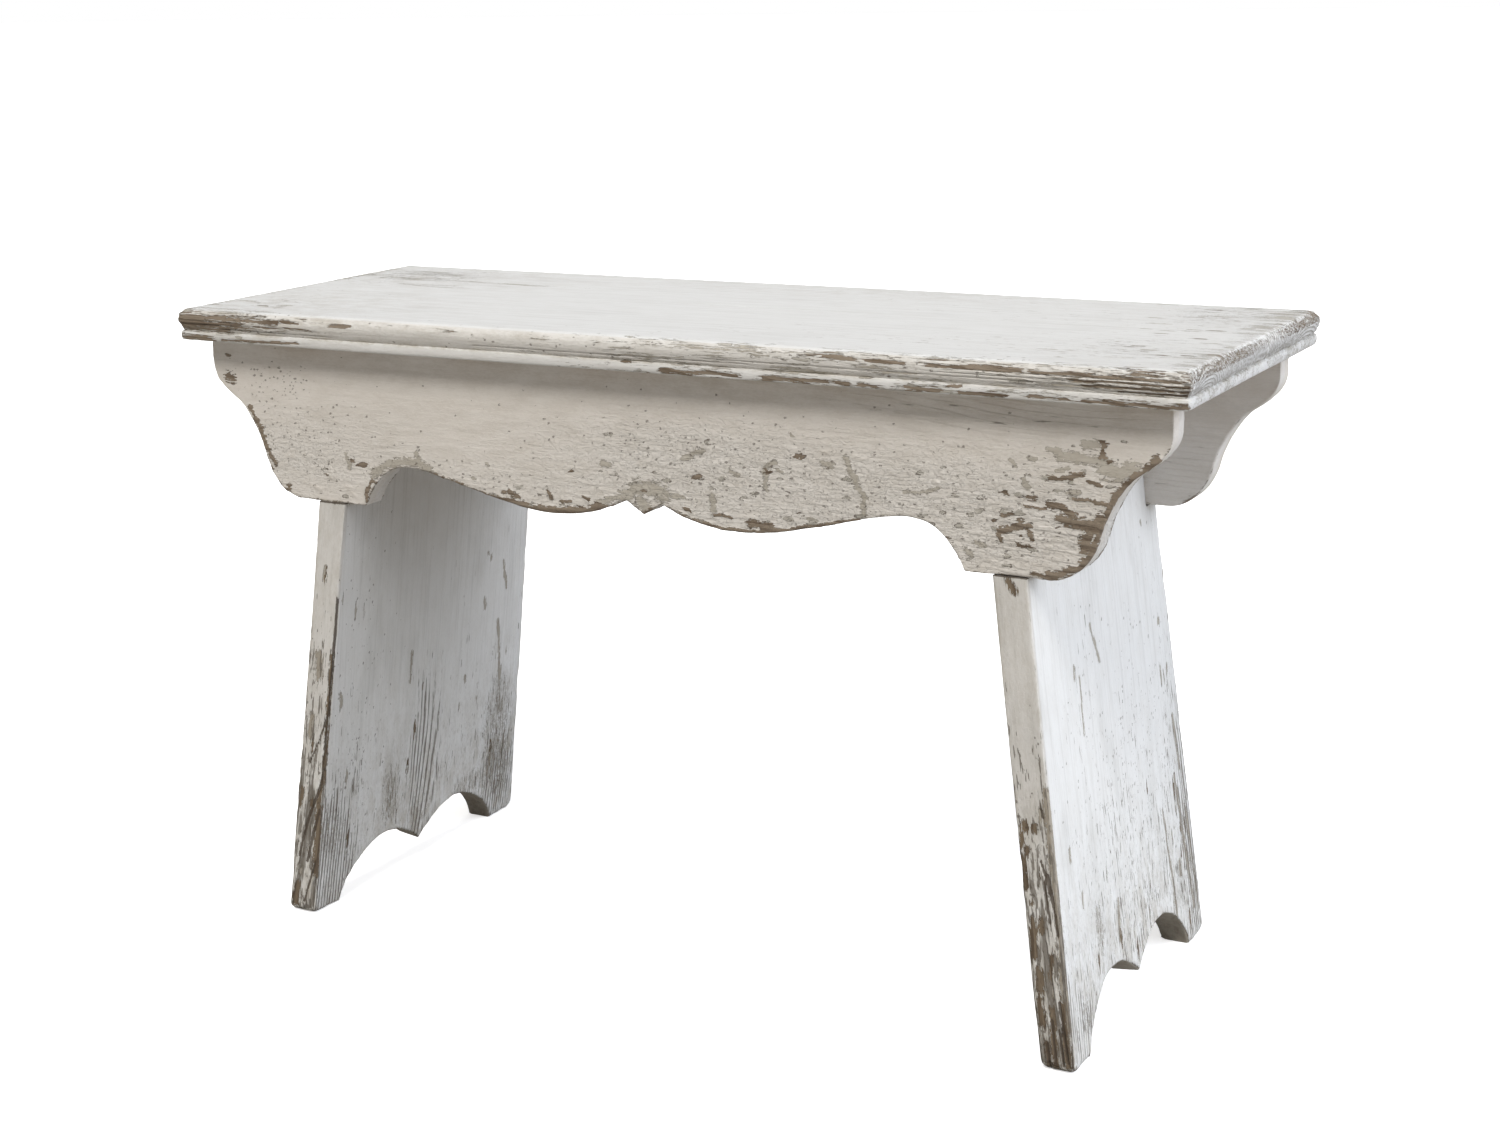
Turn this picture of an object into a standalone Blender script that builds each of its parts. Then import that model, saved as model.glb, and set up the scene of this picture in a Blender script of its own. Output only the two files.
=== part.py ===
"""A painted pine bench stool: a moulded seat on two splayed board legs, with scrolled aprons.

Sizes are in metres. X runs along the seat, Y from front to back and Z up. The origin lies on
the floor under the middle of the seat. Each board, nail and screw is an object of its own.
"""
import math

import bmesh
import bpy
from mathutils import Matrix
from mathutils import Vector

# Seat: two planks glued edge to edge, moulded on all four sides
SEAT_LENGTH = 0.760
SEAT_WIDTH = 0.289
SEAT_THICKNESS = 0.023
SEAT_TOP = 0.459
SEAT_JOINT_Y = 0.016
SEAT_CORNER_ROUND = 0.002
CORNER_STEPS = 3

# Seat moulding, from the top down: a nose, a narrow quirk and a bead
NOSE_RUN = 0.0075
NOSE_DROP = 0.0070
QUIRK_DROP = 0.0160
QUIRK_DEPTH = 0.0032
BEAD_INSET = 0.0016
BEAD_BULGE = 0.0012
NOSE_STEPS = 6
UNDERCUT_STEPS = 4
BEAD_STEPS = 6

# Aprons: boards on edge under the long sides of the seat
APRON_END_SETBACK = 0.016
APRON_HEIGHT = 0.114
APRON_THICKNESS = 0.020
APRON_SETBACK = 0.0195
APRON_ARRIS = 0.0012

# Legs: boards that lean outwards, wider at the floor, notched for the aprons
LEG_THICKNESS = 0.023
LEG_SPLAY = math.radians(7.5)
LEG_FLARE = 0.012
LEG_SPREAD_SHARE = 0.8
LEG_ARRIS = 0.0012
FOOT_ROUND = 0.005
FOOT_WIDTH = 0.033
ARCH_HEIGHT = 0.0388
ARCH_TIP_HEIGHT = 0.018

# Cleats: battens under the seat, inside each leg
CLEAT_WIDTH = 0.030
CLEAT_HEIGHT = 0.028
CLEAT_END_GAP = 0.008
CLEAT_CHAMFER = 0.002

# Nails that hold the aprons to the legs, sunk under the paint
NAIL_LENGTH = 0.050
NAIL_RADIUS = 0.0013
NAIL_HEAD_RADIUS = 0.0020
NAIL_HEAD_HEIGHT = 0.0018
NAIL_POINT = 0.004
NAIL_SUNK = 0.002
NAIL_EDGE_MARGIN = 0.020
NAILS_PER_JOINT = 3
NAIL_SIDES = 12

# Countersunk screws that hold each cleat to the seat and to its leg
SCREW_LENGTH = 0.040
SCREW_RADIUS = 0.0020
SCREW_HEAD_RADIUS = 0.0040
SCREW_HEAD_HEIGHT = 0.0026
SCREW_POINT = 0.005
SCREW_SIDES = 20
RECESS_WIDTH = 0.0011
RECESS_SPAN = 0.0046
RECESS_DEPTH = 0.0018
SEAT_SCREWS_PER_CLEAT = 3
SEAT_SCREW_MARGIN = 0.022
LEG_SCREWS_PER_CLEAT = 2
LEG_SCREW_MARGIN = 0.058

# Fits
JOINT_GAP = 0.0003
HOLE_CLEARANCE = 0.0003
HOLE_END_CLEARANCE = 0.0006
CUT_OVERRUN = 0.001
WELD_DISTANCE = 0.00001
CURVE_STEPS = 8
ARRIS_STEPS = 1
ROUND_SHARE = 0.5
SMOOTH_ANGLE = math.radians(35)

# Half of the apron's lower edge, from the middle outwards. Each point is the anchor, the
# handle before it and the handle after it, and None stands for a straight run. Across is a
# share of half the length, and down is a share of the height.
APRON_EDGE_SHARES = [
    ((0.000, 0.866), None, None),
    ((0.038, 0.794), None, (0.082, 0.864)),
    ((0.198, 0.916), (0.137, 0.916), (0.308, 0.916)),
    ((0.527, 0.728), (0.462, 0.728), (0.588, 0.728)),
    ((0.637, 1.000), (0.615, 0.868), None),
    ((0.791, 1.000), None, (0.841, 1.000)),
    ((0.878, 0.746), (0.871, 0.842), (0.885, 0.632)),
    ((0.940, 0.395), (0.916, 0.452), (0.967, 0.338)),
    ((1.000, 0.158), (1.000, 0.263), None),
    ((1.000, 0.000), None, None),
]

# Handles of one arch at the foot of a leg. Across is a share of the distance from the middle
# of the leg to the foot, and up is a share of the arch's height.
ARCH_CROWN_SHARE = 0.481
ARCH_TIP_HANDLE_SHARES = (0.077, 0.738)
ARCH_CROWN_INNER_SHARE = 0.269
ARCH_CROWN_OUTER_SHARE = 0.731
ARCH_FOOT_HANDLE_SHARES = (0.962, 0.433)
CORNER_HANDLE_SHARE = 0.55

# Sizes and places worked out from the ones above
SEAT_UNDERSIDE = SEAT_TOP - SEAT_THICKNESS
APRON_LENGTH = SEAT_LENGTH - 2 * APRON_END_SETBACK
APRON_FRONT = SEAT_WIDTH / 2 - APRON_SETBACK
APRON_BACK = APRON_FRONT - APRON_THICKNESS
APRON_TOP = SEAT_UNDERSIDE - JOINT_GAP
APRON_BOTTOM = APRON_TOP - APRON_HEIGHT
LEG_FLOOR_SPREAD = SEAT_LENGTH * LEG_SPREAD_SHARE
LEG_SLOPE = math.tan(LEG_SPLAY)
LEG_RUN = LEG_THICKNESS / math.cos(LEG_SPLAY)
CLEAT_TOP = SEAT_UNDERSIDE - JOINT_GAP
CLEAT_BOTTOM = CLEAT_TOP - CLEAT_HEIGHT
CLEAT_HALF_LENGTH = APRON_BACK - CLEAT_END_GAP

PAINT_WHITE = (0.74, 0.73, 0.70)
PAINT_GREY = (0.62, 0.61, 0.58)
BARE_PINE = (0.46, 0.36, 0.25)
STEEL_GREY = (0.45, 0.45, 0.46)
PAINT_ROUGHNESS = 0.75
WOOD_ROUGHNESS = 0.8
STEEL_ROUGHNESS = 0.4


def clear_scene():
    for old in list(bpy.data.objects):
        bpy.data.objects.remove(old, do_unlink=True)


def new_collection(name):
    collection = bpy.data.collections.new(name)
    bpy.context.scene.collection.children.link(collection)
    return collection


def make_material(name, colour, roughness, metallic=0.0):
    material = bpy.data.materials.new(name)
    material.use_nodes = True
    shader = material.node_tree.nodes["Principled BSDF"]
    shader.inputs["Base Color"].default_value = (*colour, 1.0)
    shader.inputs["Roughness"].default_value = roughness
    shader.inputs["Metallic"].default_value = metallic
    return material


def finish_object(name, mesh, collection, material=None):
    """Put a mesh in the model as one named object, smooth where it curves gently."""
    mesh.name = name
    thing = bpy.data.objects.new(name, mesh)
    collection.objects.link(thing)
    if material is not None:
        mesh.materials.clear()
        mesh.materials.append(material)
    mesh.shade_smooth()
    mesh.set_sharp_from_angle(angle=SMOOTH_ANGLE)
    return thing


def add_cutter(name, mesh, collection):
    cutter = finish_object(name, mesh, collection)
    cutter.hide_render = True
    cutter.display_type = "WIRE"
    return cutter


def cut(target, cutter):
    modifier = target.modifiers.new(cutter.name, "BOOLEAN")
    modifier.operation = "DIFFERENCE"
    modifier.solver = "EXACT"
    modifier.object = cutter


def leg_middle_x(height):
    """Distance from the stool's middle to the middle of a leg's thickness at a height."""
    return LEG_FLOOR_SPREAD / 2 - LEG_SLOPE * height


def spaced(count, reach):
    """Places from -reach to reach, evenly spaced."""
    if count == 1:
        return [0.0]
    return [reach * (2 * index / (count - 1) - 1) for index in range(count)]


def mirrored(half):
    """The outline of a whole board from the half on its right side, which starts at the middle."""
    other = []
    for anchor, before, after in reversed(half[1:]):
        flipped = [None if p is None else (-p[0], p[1]) for p in (anchor, after, before)]
        other.append(tuple(flipped))
    return half + other


def outline_mesh(points, thickness, arris, matrix):
    """A board cut to a curved outline, with eased arrises, moved into place by a matrix."""
    curve = bpy.data.curves.new("outline", "CURVE")
    curve.dimensions = "2D"
    curve.fill_mode = "BOTH"
    curve.resolution_u = CURVE_STEPS
    curve.bevel_depth = arris
    curve.bevel_resolution = ARRIS_STEPS
    curve.offset = -arris
    curve.extrude = thickness / 2 - arris
    spline = curve.splines.new("BEZIER")
    spline.bezier_points.add(len(points) - 1)
    spline.use_cyclic_u = True
    for point, (anchor, before, after) in zip(spline.bezier_points, points):
        point.co = (*anchor, 0)
        point.handle_left_type = "VECTOR" if before is None else "FREE"
        point.handle_right_type = "VECTOR" if after is None else "FREE"
        point.handle_left = (*(before or anchor), 0)
        point.handle_right = (*(after or anchor), 0)
    drawn = bpy.data.objects.new("outline", curve)
    bpy.context.scene.collection.objects.link(drawn)
    graph = bpy.context.evaluated_depsgraph_get()
    mesh = bpy.data.meshes.new_from_object(drawn.evaluated_get(graph))
    bpy.data.objects.remove(drawn)
    work = bmesh.new()
    work.from_mesh(mesh)
    bmesh.ops.remove_doubles(work, verts=work.verts, dist=WELD_DISTANCE)
    bmesh.ops.recalc_face_normals(work, faces=work.faces)
    work.transform(matrix)
    work.to_mesh(mesh)
    work.free()
    return mesh


def turned_mesh(profile, sides, matrix):
    """A round solid from (radius, height) points that run down its outer side, top to bottom."""
    mesh = bpy.data.meshes.new("turned")
    edges = [(index, index + 1) for index in range(len(profile) - 1)]
    mesh.from_pydata([(radius, 0, height) for radius, height in profile], edges, [])
    blank = bpy.data.objects.new("turned", mesh)
    bpy.context.scene.collection.objects.link(blank)
    screw = blank.modifiers.new("turn", "SCREW")
    screw.steps = sides
    screw.render_steps = sides
    screw.use_merge_vertices = True
    screw.merge_threshold = WELD_DISTANCE
    graph = bpy.context.evaluated_depsgraph_get()
    turned = bpy.data.meshes.new_from_object(blank.evaluated_get(graph))
    bpy.data.objects.remove(blank)
    turned.transform(matrix)
    return turned


def along(axis, start):
    """A matrix that lays a turned piece's +Z along an axis, with its zero at a start point."""
    turn = Vector((0, 0, 1)).rotation_difference(Vector(axis)).to_matrix().to_4x4()
    return Matrix.Translation(start) @ turn


def moulding_profile():
    """Inset from the seat's outer face against depth below its top, from the top down."""
    profile = []
    for step in range(NOSE_STEPS + 1):
        turn = math.pi / 2 * step / NOSE_STEPS
        profile.append((NOSE_RUN * (1 - math.sin(turn)), NOSE_DROP * (1 - math.cos(turn))))
    for step in range(1, UNDERCUT_STEPS + 1):
        part = step / UNDERCUT_STEPS
        profile.append((QUIRK_DEPTH * part ** 2, NOSE_DROP + (QUIRK_DROP - NOSE_DROP) * part))
    for step in range(1, BEAD_STEPS + 1):
        turn = math.pi * step / BEAD_STEPS
        inset = BEAD_INSET + BEAD_BULGE * (1 - math.sin(turn))
        half_bead = (SEAT_THICKNESS - QUIRK_DROP) / 2
        profile.append((inset, QUIRK_DROP + half_bead * (1 - math.cos(turn))))
    return profile


def seat_board():
    """The whole seat as one moulded board: a block cut at each height of the moulding."""
    work = bmesh.new()
    size = (SEAT_LENGTH, SEAT_WIDTH, SEAT_THICKNESS)
    middle = Vector((0, 0, SEAT_TOP - SEAT_THICKNESS / 2))
    bmesh.ops.create_cube(work, size=1, matrix=Matrix.LocRotScale(middle, None, size))
    upright = [edge for edge in work.edges if abs(edge.verts[0].co.z - edge.verts[1].co.z) > 0]
    bmesh.ops.bevel(
        work, geom=upright, offset=SEAT_CORNER_ROUND, segments=CORNER_STEPS, profile=ROUND_SHARE,
        affect="EDGES")
    profile = moulding_profile()
    for _, depth in profile[1:-1]:
        geometry = work.verts[:] + work.edges[:] + work.faces[:]
        level = (0, 0, SEAT_TOP - depth)
        bmesh.ops.bisect_plane(work, geom=geometry, plane_co=level, plane_no=(0, 0, 1))
    for vert in work.verts:
        depth = SEAT_TOP - vert.co.z
        inset = min(profile, key=lambda point: abs(point[1] - depth))[0]
        vert.co.x -= math.copysign(inset, vert.co.x)
        vert.co.y -= math.copysign(inset, vert.co.y)
    return work


def seat_plank(keep_front):
    """One plank of the seat: the moulded board sawn along the glue joint."""
    work = seat_board()
    side = 1 if keep_front else -1
    edge = SEAT_JOINT_Y - side * JOINT_GAP / 2
    geometry = work.verts[:] + work.edges[:] + work.faces[:]
    sawn = bmesh.ops.bisect_plane(
        work, geom=geometry, plane_co=(0, edge, 0), plane_no=(0, side, 0), clear_outer=True)
    rim = [item for item in sawn["geom_cut"] if isinstance(item, bmesh.types.BMEdge)]
    bmesh.ops.contextual_create(work, geom=rim)
    bmesh.ops.recalc_face_normals(work, faces=work.faces)
    mesh = bpy.data.meshes.new("plank")
    work.to_mesh(mesh)
    work.free()
    return mesh


def apron_outline():
    half = []
    for shares in APRON_EDGE_SHARES:
        placed = [
            None if share is None else (share[0] * APRON_LENGTH / 2, -share[1] * APRON_HEIGHT)
            for share in shares]
        half.append(tuple(placed))
    return mirrored(half)


def apron_mesh(side):
    """The apron on one side of the stool, -1 for the front and 1 for the rear."""
    middle_y = side * (APRON_FRONT - APRON_THICKNESS / 2)
    stand = Matrix.Translation((0, middle_y, APRON_TOP)) @ Matrix.Rotation(math.pi / 2, 4, "X")
    return outline_mesh(apron_outline(), APRON_THICKNESS, APRON_ARRIS, stand)


def leg_outline():
    """A leg seen square on, across and up, with heights measured plumb."""
    shoulder = APRON_BOTTOM - JOINT_GAP
    notch = APRON_BACK - JOINT_GAP
    floor_half = APRON_FRONT + LEG_FLARE
    taper = (floor_half - APRON_FRONT) / shoulder
    corner = floor_half - taper * FOOT_ROUND
    foot = floor_half - FOOT_WIDTH
    crown = ARCH_CROWN_SHARE * foot
    tip_handle = (ARCH_TIP_HANDLE_SHARES[0] * foot, ARCH_TIP_HANDLE_SHARES[1] * ARCH_HEIGHT)
    foot_handle = (ARCH_FOOT_HANDLE_SHARES[0] * foot, ARCH_FOOT_HANDLE_SHARES[1] * ARCH_HEIGHT)
    crown_inner = (ARCH_CROWN_INNER_SHARE * foot, ARCH_HEIGHT)
    crown_outer = (ARCH_CROWN_OUTER_SHARE * foot, ARCH_HEIGHT)
    ease = FOOT_ROUND * CORNER_HANDLE_SHARE
    half = [
        ((0, ARCH_TIP_HEIGHT), (-tip_handle[0], tip_handle[1]), tip_handle),
        ((crown, ARCH_HEIGHT), crown_inner, crown_outer),
        ((foot, 0), foot_handle, None),
        ((floor_half - FOOT_ROUND, 0), None, (floor_half - FOOT_ROUND + ease, 0)),
        ((corner, FOOT_ROUND), (corner, FOOT_ROUND - ease), None),
        ((APRON_FRONT, shoulder), None, None),
        ((notch, shoulder), None, None),
        ((notch, SEAT_UNDERSIDE - JOINT_GAP), None, None),
    ]
    return mirrored(half)


def leg_mesh(side):
    """The leg at one end, -1 for the left and 1 for the right: drawn upright, then leant over."""
    lean = Matrix((
        (0, -side * LEG_SLOPE, 1, side * LEG_FLOOR_SPREAD / 2),
        (1, 0, 0, 0),
        (0, 1, 0, 0),
        (0, 0, 0, 1)))
    return outline_mesh(leg_outline(), LEG_RUN, LEG_ARRIS, lean)


def cleat_mesh(side):
    """A batten whose outer face leans with the leg."""
    top_outer = leg_middle_x(CLEAT_TOP) - LEG_RUN / 2 - JOINT_GAP
    inner = top_outer - CLEAT_WIDTH
    work = bmesh.new()
    size = (CLEAT_WIDTH, 2 * CLEAT_HALF_LENGTH, CLEAT_HEIGHT)
    middle = Vector((inner + CLEAT_WIDTH / 2, 0, CLEAT_TOP - CLEAT_HEIGHT / 2))
    bmesh.ops.create_cube(work, size=1, matrix=Matrix.LocRotScale(middle, None, size))
    for vert in work.verts:
        if vert.co.x > middle.x:
            vert.co.x += (CLEAT_TOP - vert.co.z) * LEG_SLOPE
    low_inner = [
        edge for edge in work.edges
        if all(vert.co.x < middle.x and vert.co.z < middle.z for vert in edge.verts)]
    bmesh.ops.bevel(
        work, geom=low_inner, offset=CLEAT_CHAMFER, segments=1, profile=ROUND_SHARE,
        affect="EDGES")
    if side < 0:
        bmesh.ops.scale(work, vec=(-1, 1, 1), verts=work.verts)
        bmesh.ops.reverse_faces(work, faces=work.faces)
    mesh = bpy.data.meshes.new("cleat")
    work.to_mesh(mesh)
    work.free()
    return mesh


def nail_profile(grow=0.0, end=0.0):
    """A lost-head nail that points down +Z from its head at zero, or its hole when it grows."""
    return [
        (0, NAIL_LENGTH + end),
        (NAIL_RADIUS + grow, NAIL_LENGTH + end - NAIL_POINT),
        (NAIL_RADIUS + grow, NAIL_HEAD_HEIGHT + grow),
        (NAIL_HEAD_RADIUS + grow, NAIL_HEAD_HEIGHT / 2),
        (NAIL_HEAD_RADIUS + grow, -end),
        (0, -end),
    ]


def screw_profile(grow=0.0, end=0.0):
    """A countersunk screw that points down +Z from its head at zero, or its hole."""
    return [
        (0, SCREW_LENGTH + end),
        (SCREW_RADIUS + grow, SCREW_LENGTH + end - SCREW_POINT),
        (SCREW_RADIUS + grow, SCREW_HEAD_HEIGHT + grow),
        (SCREW_HEAD_RADIUS + grow, grow),
        (SCREW_HEAD_RADIUS + grow, -end),
        (0, -end),
    ]


def recess_mesh(matrix, turn):
    """One bar of the cross recess in a screw's head."""
    work = bmesh.new()
    size = (RECESS_SPAN, RECESS_WIDTH, RECESS_DEPTH + CUT_OVERRUN)
    middle = Vector((0, 0, (RECESS_DEPTH - CUT_OVERRUN) / 2))
    bmesh.ops.create_cube(work, size=1, matrix=Matrix.LocRotScale(middle, None, size))
    work.transform(matrix @ Matrix.Rotation(turn, 4, "Z"))
    mesh = bpy.data.meshes.new("recess")
    work.to_mesh(mesh)
    work.free()
    return mesh


def add_nail(name, axis, start, boards, parts, cutters, steel):
    place = along(axis, start)
    finish_object(name, turned_mesh(nail_profile(), NAIL_SIDES, place), parts, steel)
    hole_mesh = turned_mesh(nail_profile(HOLE_CLEARANCE, HOLE_END_CLEARANCE), NAIL_SIDES, place)
    hole = add_cutter(name + "_hole", hole_mesh, cutters)
    for board in boards:
        cut(board, hole)


def add_screw(name, axis, start, boards, parts, cutters, steel):
    place = along(axis, start)
    screw = finish_object(name, turned_mesh(screw_profile(), SCREW_SIDES, place), parts, steel)
    for index, turn in enumerate((0, math.pi / 2)):
        bar = add_cutter(name + "_recess_%d" % index, recess_mesh(place, turn), cutters)
        cut(screw, bar)
    hole_mesh = turned_mesh(screw_profile(HOLE_CLEARANCE, HOLE_END_CLEARANCE), SCREW_SIDES, place)
    hole = add_cutter(name + "_hole", hole_mesh, cutters)
    for board in boards:
        cut(board, hole)


def add_apron_nails(aprons, legs, parts, cutters, steel):
    """Nails through each apron into the edge of each leg, their heads under the surface."""
    low = APRON_BOTTOM + NAIL_EDGE_MARGIN
    high = APRON_TOP - NAIL_EDGE_MARGIN
    middle = (low + high) / 2
    for row, apron_side in (("front", -1), ("rear", 1)):
        for end, leg_side in (("left", -1), ("right", 1)):
            for index, offset in enumerate(spaced(NAILS_PER_JOINT, (high - low) / 2)):
                height = middle + offset
                start_y = apron_side * (APRON_FRONT - NAIL_SUNK)
                start = (leg_side * leg_middle_x(height), start_y, height)
                name = "nail_%s_%s_%d" % (row, end, index + 1)
                boards = (aprons[row], legs[end])
                add_nail(name, (0, -apron_side, 0), start, boards, parts, cutters, steel)


def add_cleat_screws(cleats, planks, legs, parts, cutters, steel):
    """Screws up through each cleat into the seat, and outwards into its leg."""
    inner = leg_middle_x(CLEAT_TOP) - LEG_RUN / 2 - JOINT_GAP - CLEAT_WIDTH
    for end, side in (("left", -1), ("right", 1)):
        reach = CLEAT_HALF_LENGTH - SEAT_SCREW_MARGIN
        for index, y in enumerate(spaced(SEAT_SCREWS_PER_CLEAT, reach)):
            start = (side * (inner + CLEAT_WIDTH / 2), y, CLEAT_BOTTOM)
            plank = planks["front"] if y < SEAT_JOINT_Y else planks["rear"]
            name = "seat_screw_%s_%d" % (end, index + 1)
            add_screw(name, (0, 0, 1), start, (cleats[end], plank), parts, cutters, steel)
        reach = CLEAT_HALF_LENGTH - LEG_SCREW_MARGIN
        for index, y in enumerate(spaced(LEG_SCREWS_PER_CLEAT, reach)):
            start = (side * inner, y, CLEAT_BOTTOM + CLEAT_HEIGHT / 2)
            name = "leg_screw_%s_%d" % (end, index + 1)
            add_screw(name, (side, 0, 0), start, (cleats[end], legs[end]), parts, cutters, steel)


def build_stool():
    clear_scene()
    parts = new_collection("bench_stool")
    cutters = new_collection("hole_cutters")
    seat_paint = make_material("seat_paint", PAINT_WHITE, PAINT_ROUGHNESS)
    apron_paint = make_material("apron_paint", PAINT_GREY, PAINT_ROUGHNESS)
    leg_paint = make_material("leg_paint", PAINT_WHITE, PAINT_ROUGHNESS)
    bare_wood = make_material("cleat_wood", BARE_PINE, WOOD_ROUGHNESS)
    steel = make_material("fastener_steel", STEEL_GREY, STEEL_ROUGHNESS, metallic=1.0)

    planks = {}
    planks["front"] = finish_object("seat_front_plank", seat_plank(True), parts, seat_paint)
    planks["rear"] = finish_object("seat_rear_plank", seat_plank(False), parts, seat_paint)
    aprons = {}
    aprons["front"] = finish_object("front_apron", apron_mesh(-1), parts, apron_paint)
    aprons["rear"] = finish_object("rear_apron", apron_mesh(1), parts, apron_paint)
    legs = {}
    legs["left"] = finish_object("left_leg", leg_mesh(-1), parts, leg_paint)
    legs["right"] = finish_object("right_leg", leg_mesh(1), parts, leg_paint)
    cleats = {}
    cleats["left"] = finish_object("left_cleat", cleat_mesh(-1), parts, bare_wood)
    cleats["right"] = finish_object("right_cleat", cleat_mesh(1), parts, bare_wood)

    add_apron_nails(aprons, legs, parts, cutters, steel)
    add_cleat_screws(cleats, planks, legs, parts, cutters, steel)


build_stool()
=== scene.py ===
"""A painted pine bench stool, worn with age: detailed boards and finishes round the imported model.

Sizes are in metres, except for the worn places, which are listed in millimetres on each board.
"""
import math

import bmesh
import bpy
import numpy as np
from mathutils import Matrix, Vector, kdtree


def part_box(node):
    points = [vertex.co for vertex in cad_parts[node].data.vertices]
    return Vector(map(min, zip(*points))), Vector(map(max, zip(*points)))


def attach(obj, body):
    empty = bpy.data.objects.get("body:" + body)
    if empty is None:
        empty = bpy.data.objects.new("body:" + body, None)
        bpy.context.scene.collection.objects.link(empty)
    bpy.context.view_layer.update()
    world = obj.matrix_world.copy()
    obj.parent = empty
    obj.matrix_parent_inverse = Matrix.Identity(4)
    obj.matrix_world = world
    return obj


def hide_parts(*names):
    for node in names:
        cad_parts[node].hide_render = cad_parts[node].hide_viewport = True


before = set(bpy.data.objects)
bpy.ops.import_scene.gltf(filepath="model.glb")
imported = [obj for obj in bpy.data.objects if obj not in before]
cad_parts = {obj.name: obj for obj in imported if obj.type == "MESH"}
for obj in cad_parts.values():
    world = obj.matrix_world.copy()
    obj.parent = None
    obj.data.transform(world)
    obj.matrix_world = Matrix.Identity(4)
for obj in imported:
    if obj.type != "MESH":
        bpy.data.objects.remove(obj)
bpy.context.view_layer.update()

MM = 0.001
TOUCH = 1e-6
SHARP_TURN = math.radians(55)

# The seat, its moulding and the joint between its two planks, as in the solid model
SEAT_LENGTH = 0.760
SEAT_WIDTH = 0.289
SEAT_THICKNESS = 0.023
SEAT_TOP = 0.459
SEAT_JOINT_Y = 0.016
NOSE_RUN = 0.0075
NOSE_DROP = 0.0070
QUIRK_DROP = 0.0160
QUIRK_DEPTH = 0.0032
BEAD_INSET = 0.0016
BEAD_BULGE = 0.0012
SEAT_CORNER = 0.0025

# The seat's wear: how deep its top face reaches, the ring where its upper arris wears, how far
# the painted shade in the quirk spreads, and how far the paint laps onto the underside
TOP_BAND = 0.0012
ARRIS_INSET = 0.0015
ARRIS_DROP = 0.0035
ARRIS_BAND = 0.001
QUIRK_SHADE_REACH = 0.0012
PAINT_LAP = 0.016
PAINT_LAP_SWING = 0.010
PAINT_LAP_RIM = 0.002

# The aprons and the legs, as in the solid model
APRON_LENGTH = 0.728
APRON_HEIGHT = 0.114
APRON_THICKNESS = 0.020
APRON_FRONT = 0.125
APRON_TOP = 0.4357
LEG_FLOOR_SPREAD = 0.608
LEG_SPLAY = math.radians(7.5)
LEG_SLOPE = math.tan(LEG_SPLAY)
LEG_RUN = 0.023 / math.cos(LEG_SPLAY)
LEG_FLOOR_HALF = 0.137
LEG_NOTCH = 0.1047
LEG_SHOULDER = 0.3214
FOOT_INNER = 0.104
FOOT_ROUND = 0.008
ARCH_HEIGHT = 0.0388
ARCH_TIP_HEIGHT = 0.018

# The spacing of the points on the boards' faces, along and across the grain
SEAT_STEP_ALONG = 0.0024
SEAT_STEP_ACROSS = 0.00125
APRON_STEP_ALONG = 0.0015
APRON_ROWS = 92
LEG_STEP_ACROSS = 0.0014
LEG_STEP_ALONG = 0.0027
END_STEP = 0.0005
INNER_ROW_SKIP = 4
LEG_ROW_SKIP = 1
WALL_STEP = 0.0011
ARRIS_STEPS = (0.45 * MM, 1.1 * MM)
CURVE_STEPS = 24
ROW_GROWTH = 1.5
WING_COLUMNS = 25
FOOT_ROW_SHARE = 0.0014
SHOULDER_ROW_SHARE = 0.004
CLEAT_STEP = 0.0025

# Where the pith of each board's log lies, across and in depth, and how far apart its rings are
APRON_PITH = (-0.045, 0.034)
APRON_RING = 0.0036
LEG_PITH = (0.030, 0.045)
LEG_RING = 0.0034
CLEAT_PITH = (0.050, -0.040)
CLEAT_RING = 0.0031

# Each board lies in its own stretch of the noise, this far from the next one's
BOARD_APART = 1.7

# How deep each kind of wear is cut into a board, and how far the wear of its edges goes in, in
# metres. Round is the radius of a new arris, and the worn and tread values are added to it.
# Swing is how much an arris's wear varies, and lead how much further its undercoat shows.
APRON_RELIEF = {
    "bow": 0.00028, "grain": 0.00006, "rough": 0.00013, "ridges": 0.00005, "dents": 0.00045,
    "knocks": 0.00035, "bare": 0.00035, "undercoat_and_shade": 0.00012, "nicks": 0.0004,
    "round": 0.0011, "round_worn": 0.0005, "arris_reach": 0.0042, "nick_reach": 0.0025,
    "swing": 0.34, "lead": 0.16,
}
LEG_RELIEF = {
    "bow": 0.0003, "grain": 0.00022, "rough": 0.0002, "slits": 0.0004, "cracks": 0.0011,
    "bare": 0.0003, "undercoat_and_shade": 0.00012, "nicks": 0.0005,
    "round": 0.0012, "round_worn": 0.0014, "round_tread": 0.0012,
    "arris_reach": 0.0045, "nick_reach": 0.003, "swing": 0.34, "lead": 0.14,
}
SEAT_RELIEF = {
    "bow": 0.00022, "grain": 0.0001, "rough": 0.00008, "grooves": 0.0007, "end_grain": 0.00065,
    "bare": 0.0003, "undercoat_and_shade": 0.0001, "nicks": 0.0005,
    "arris_reach": 0.0045, "nick_reach": 0.003, "swing": 0.36, "lead": 0.10,
}

# The paint is lost where a wear field passes a half, and its surface steps down over this range
LOSS_RIM = (0.42, 0.60)

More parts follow.
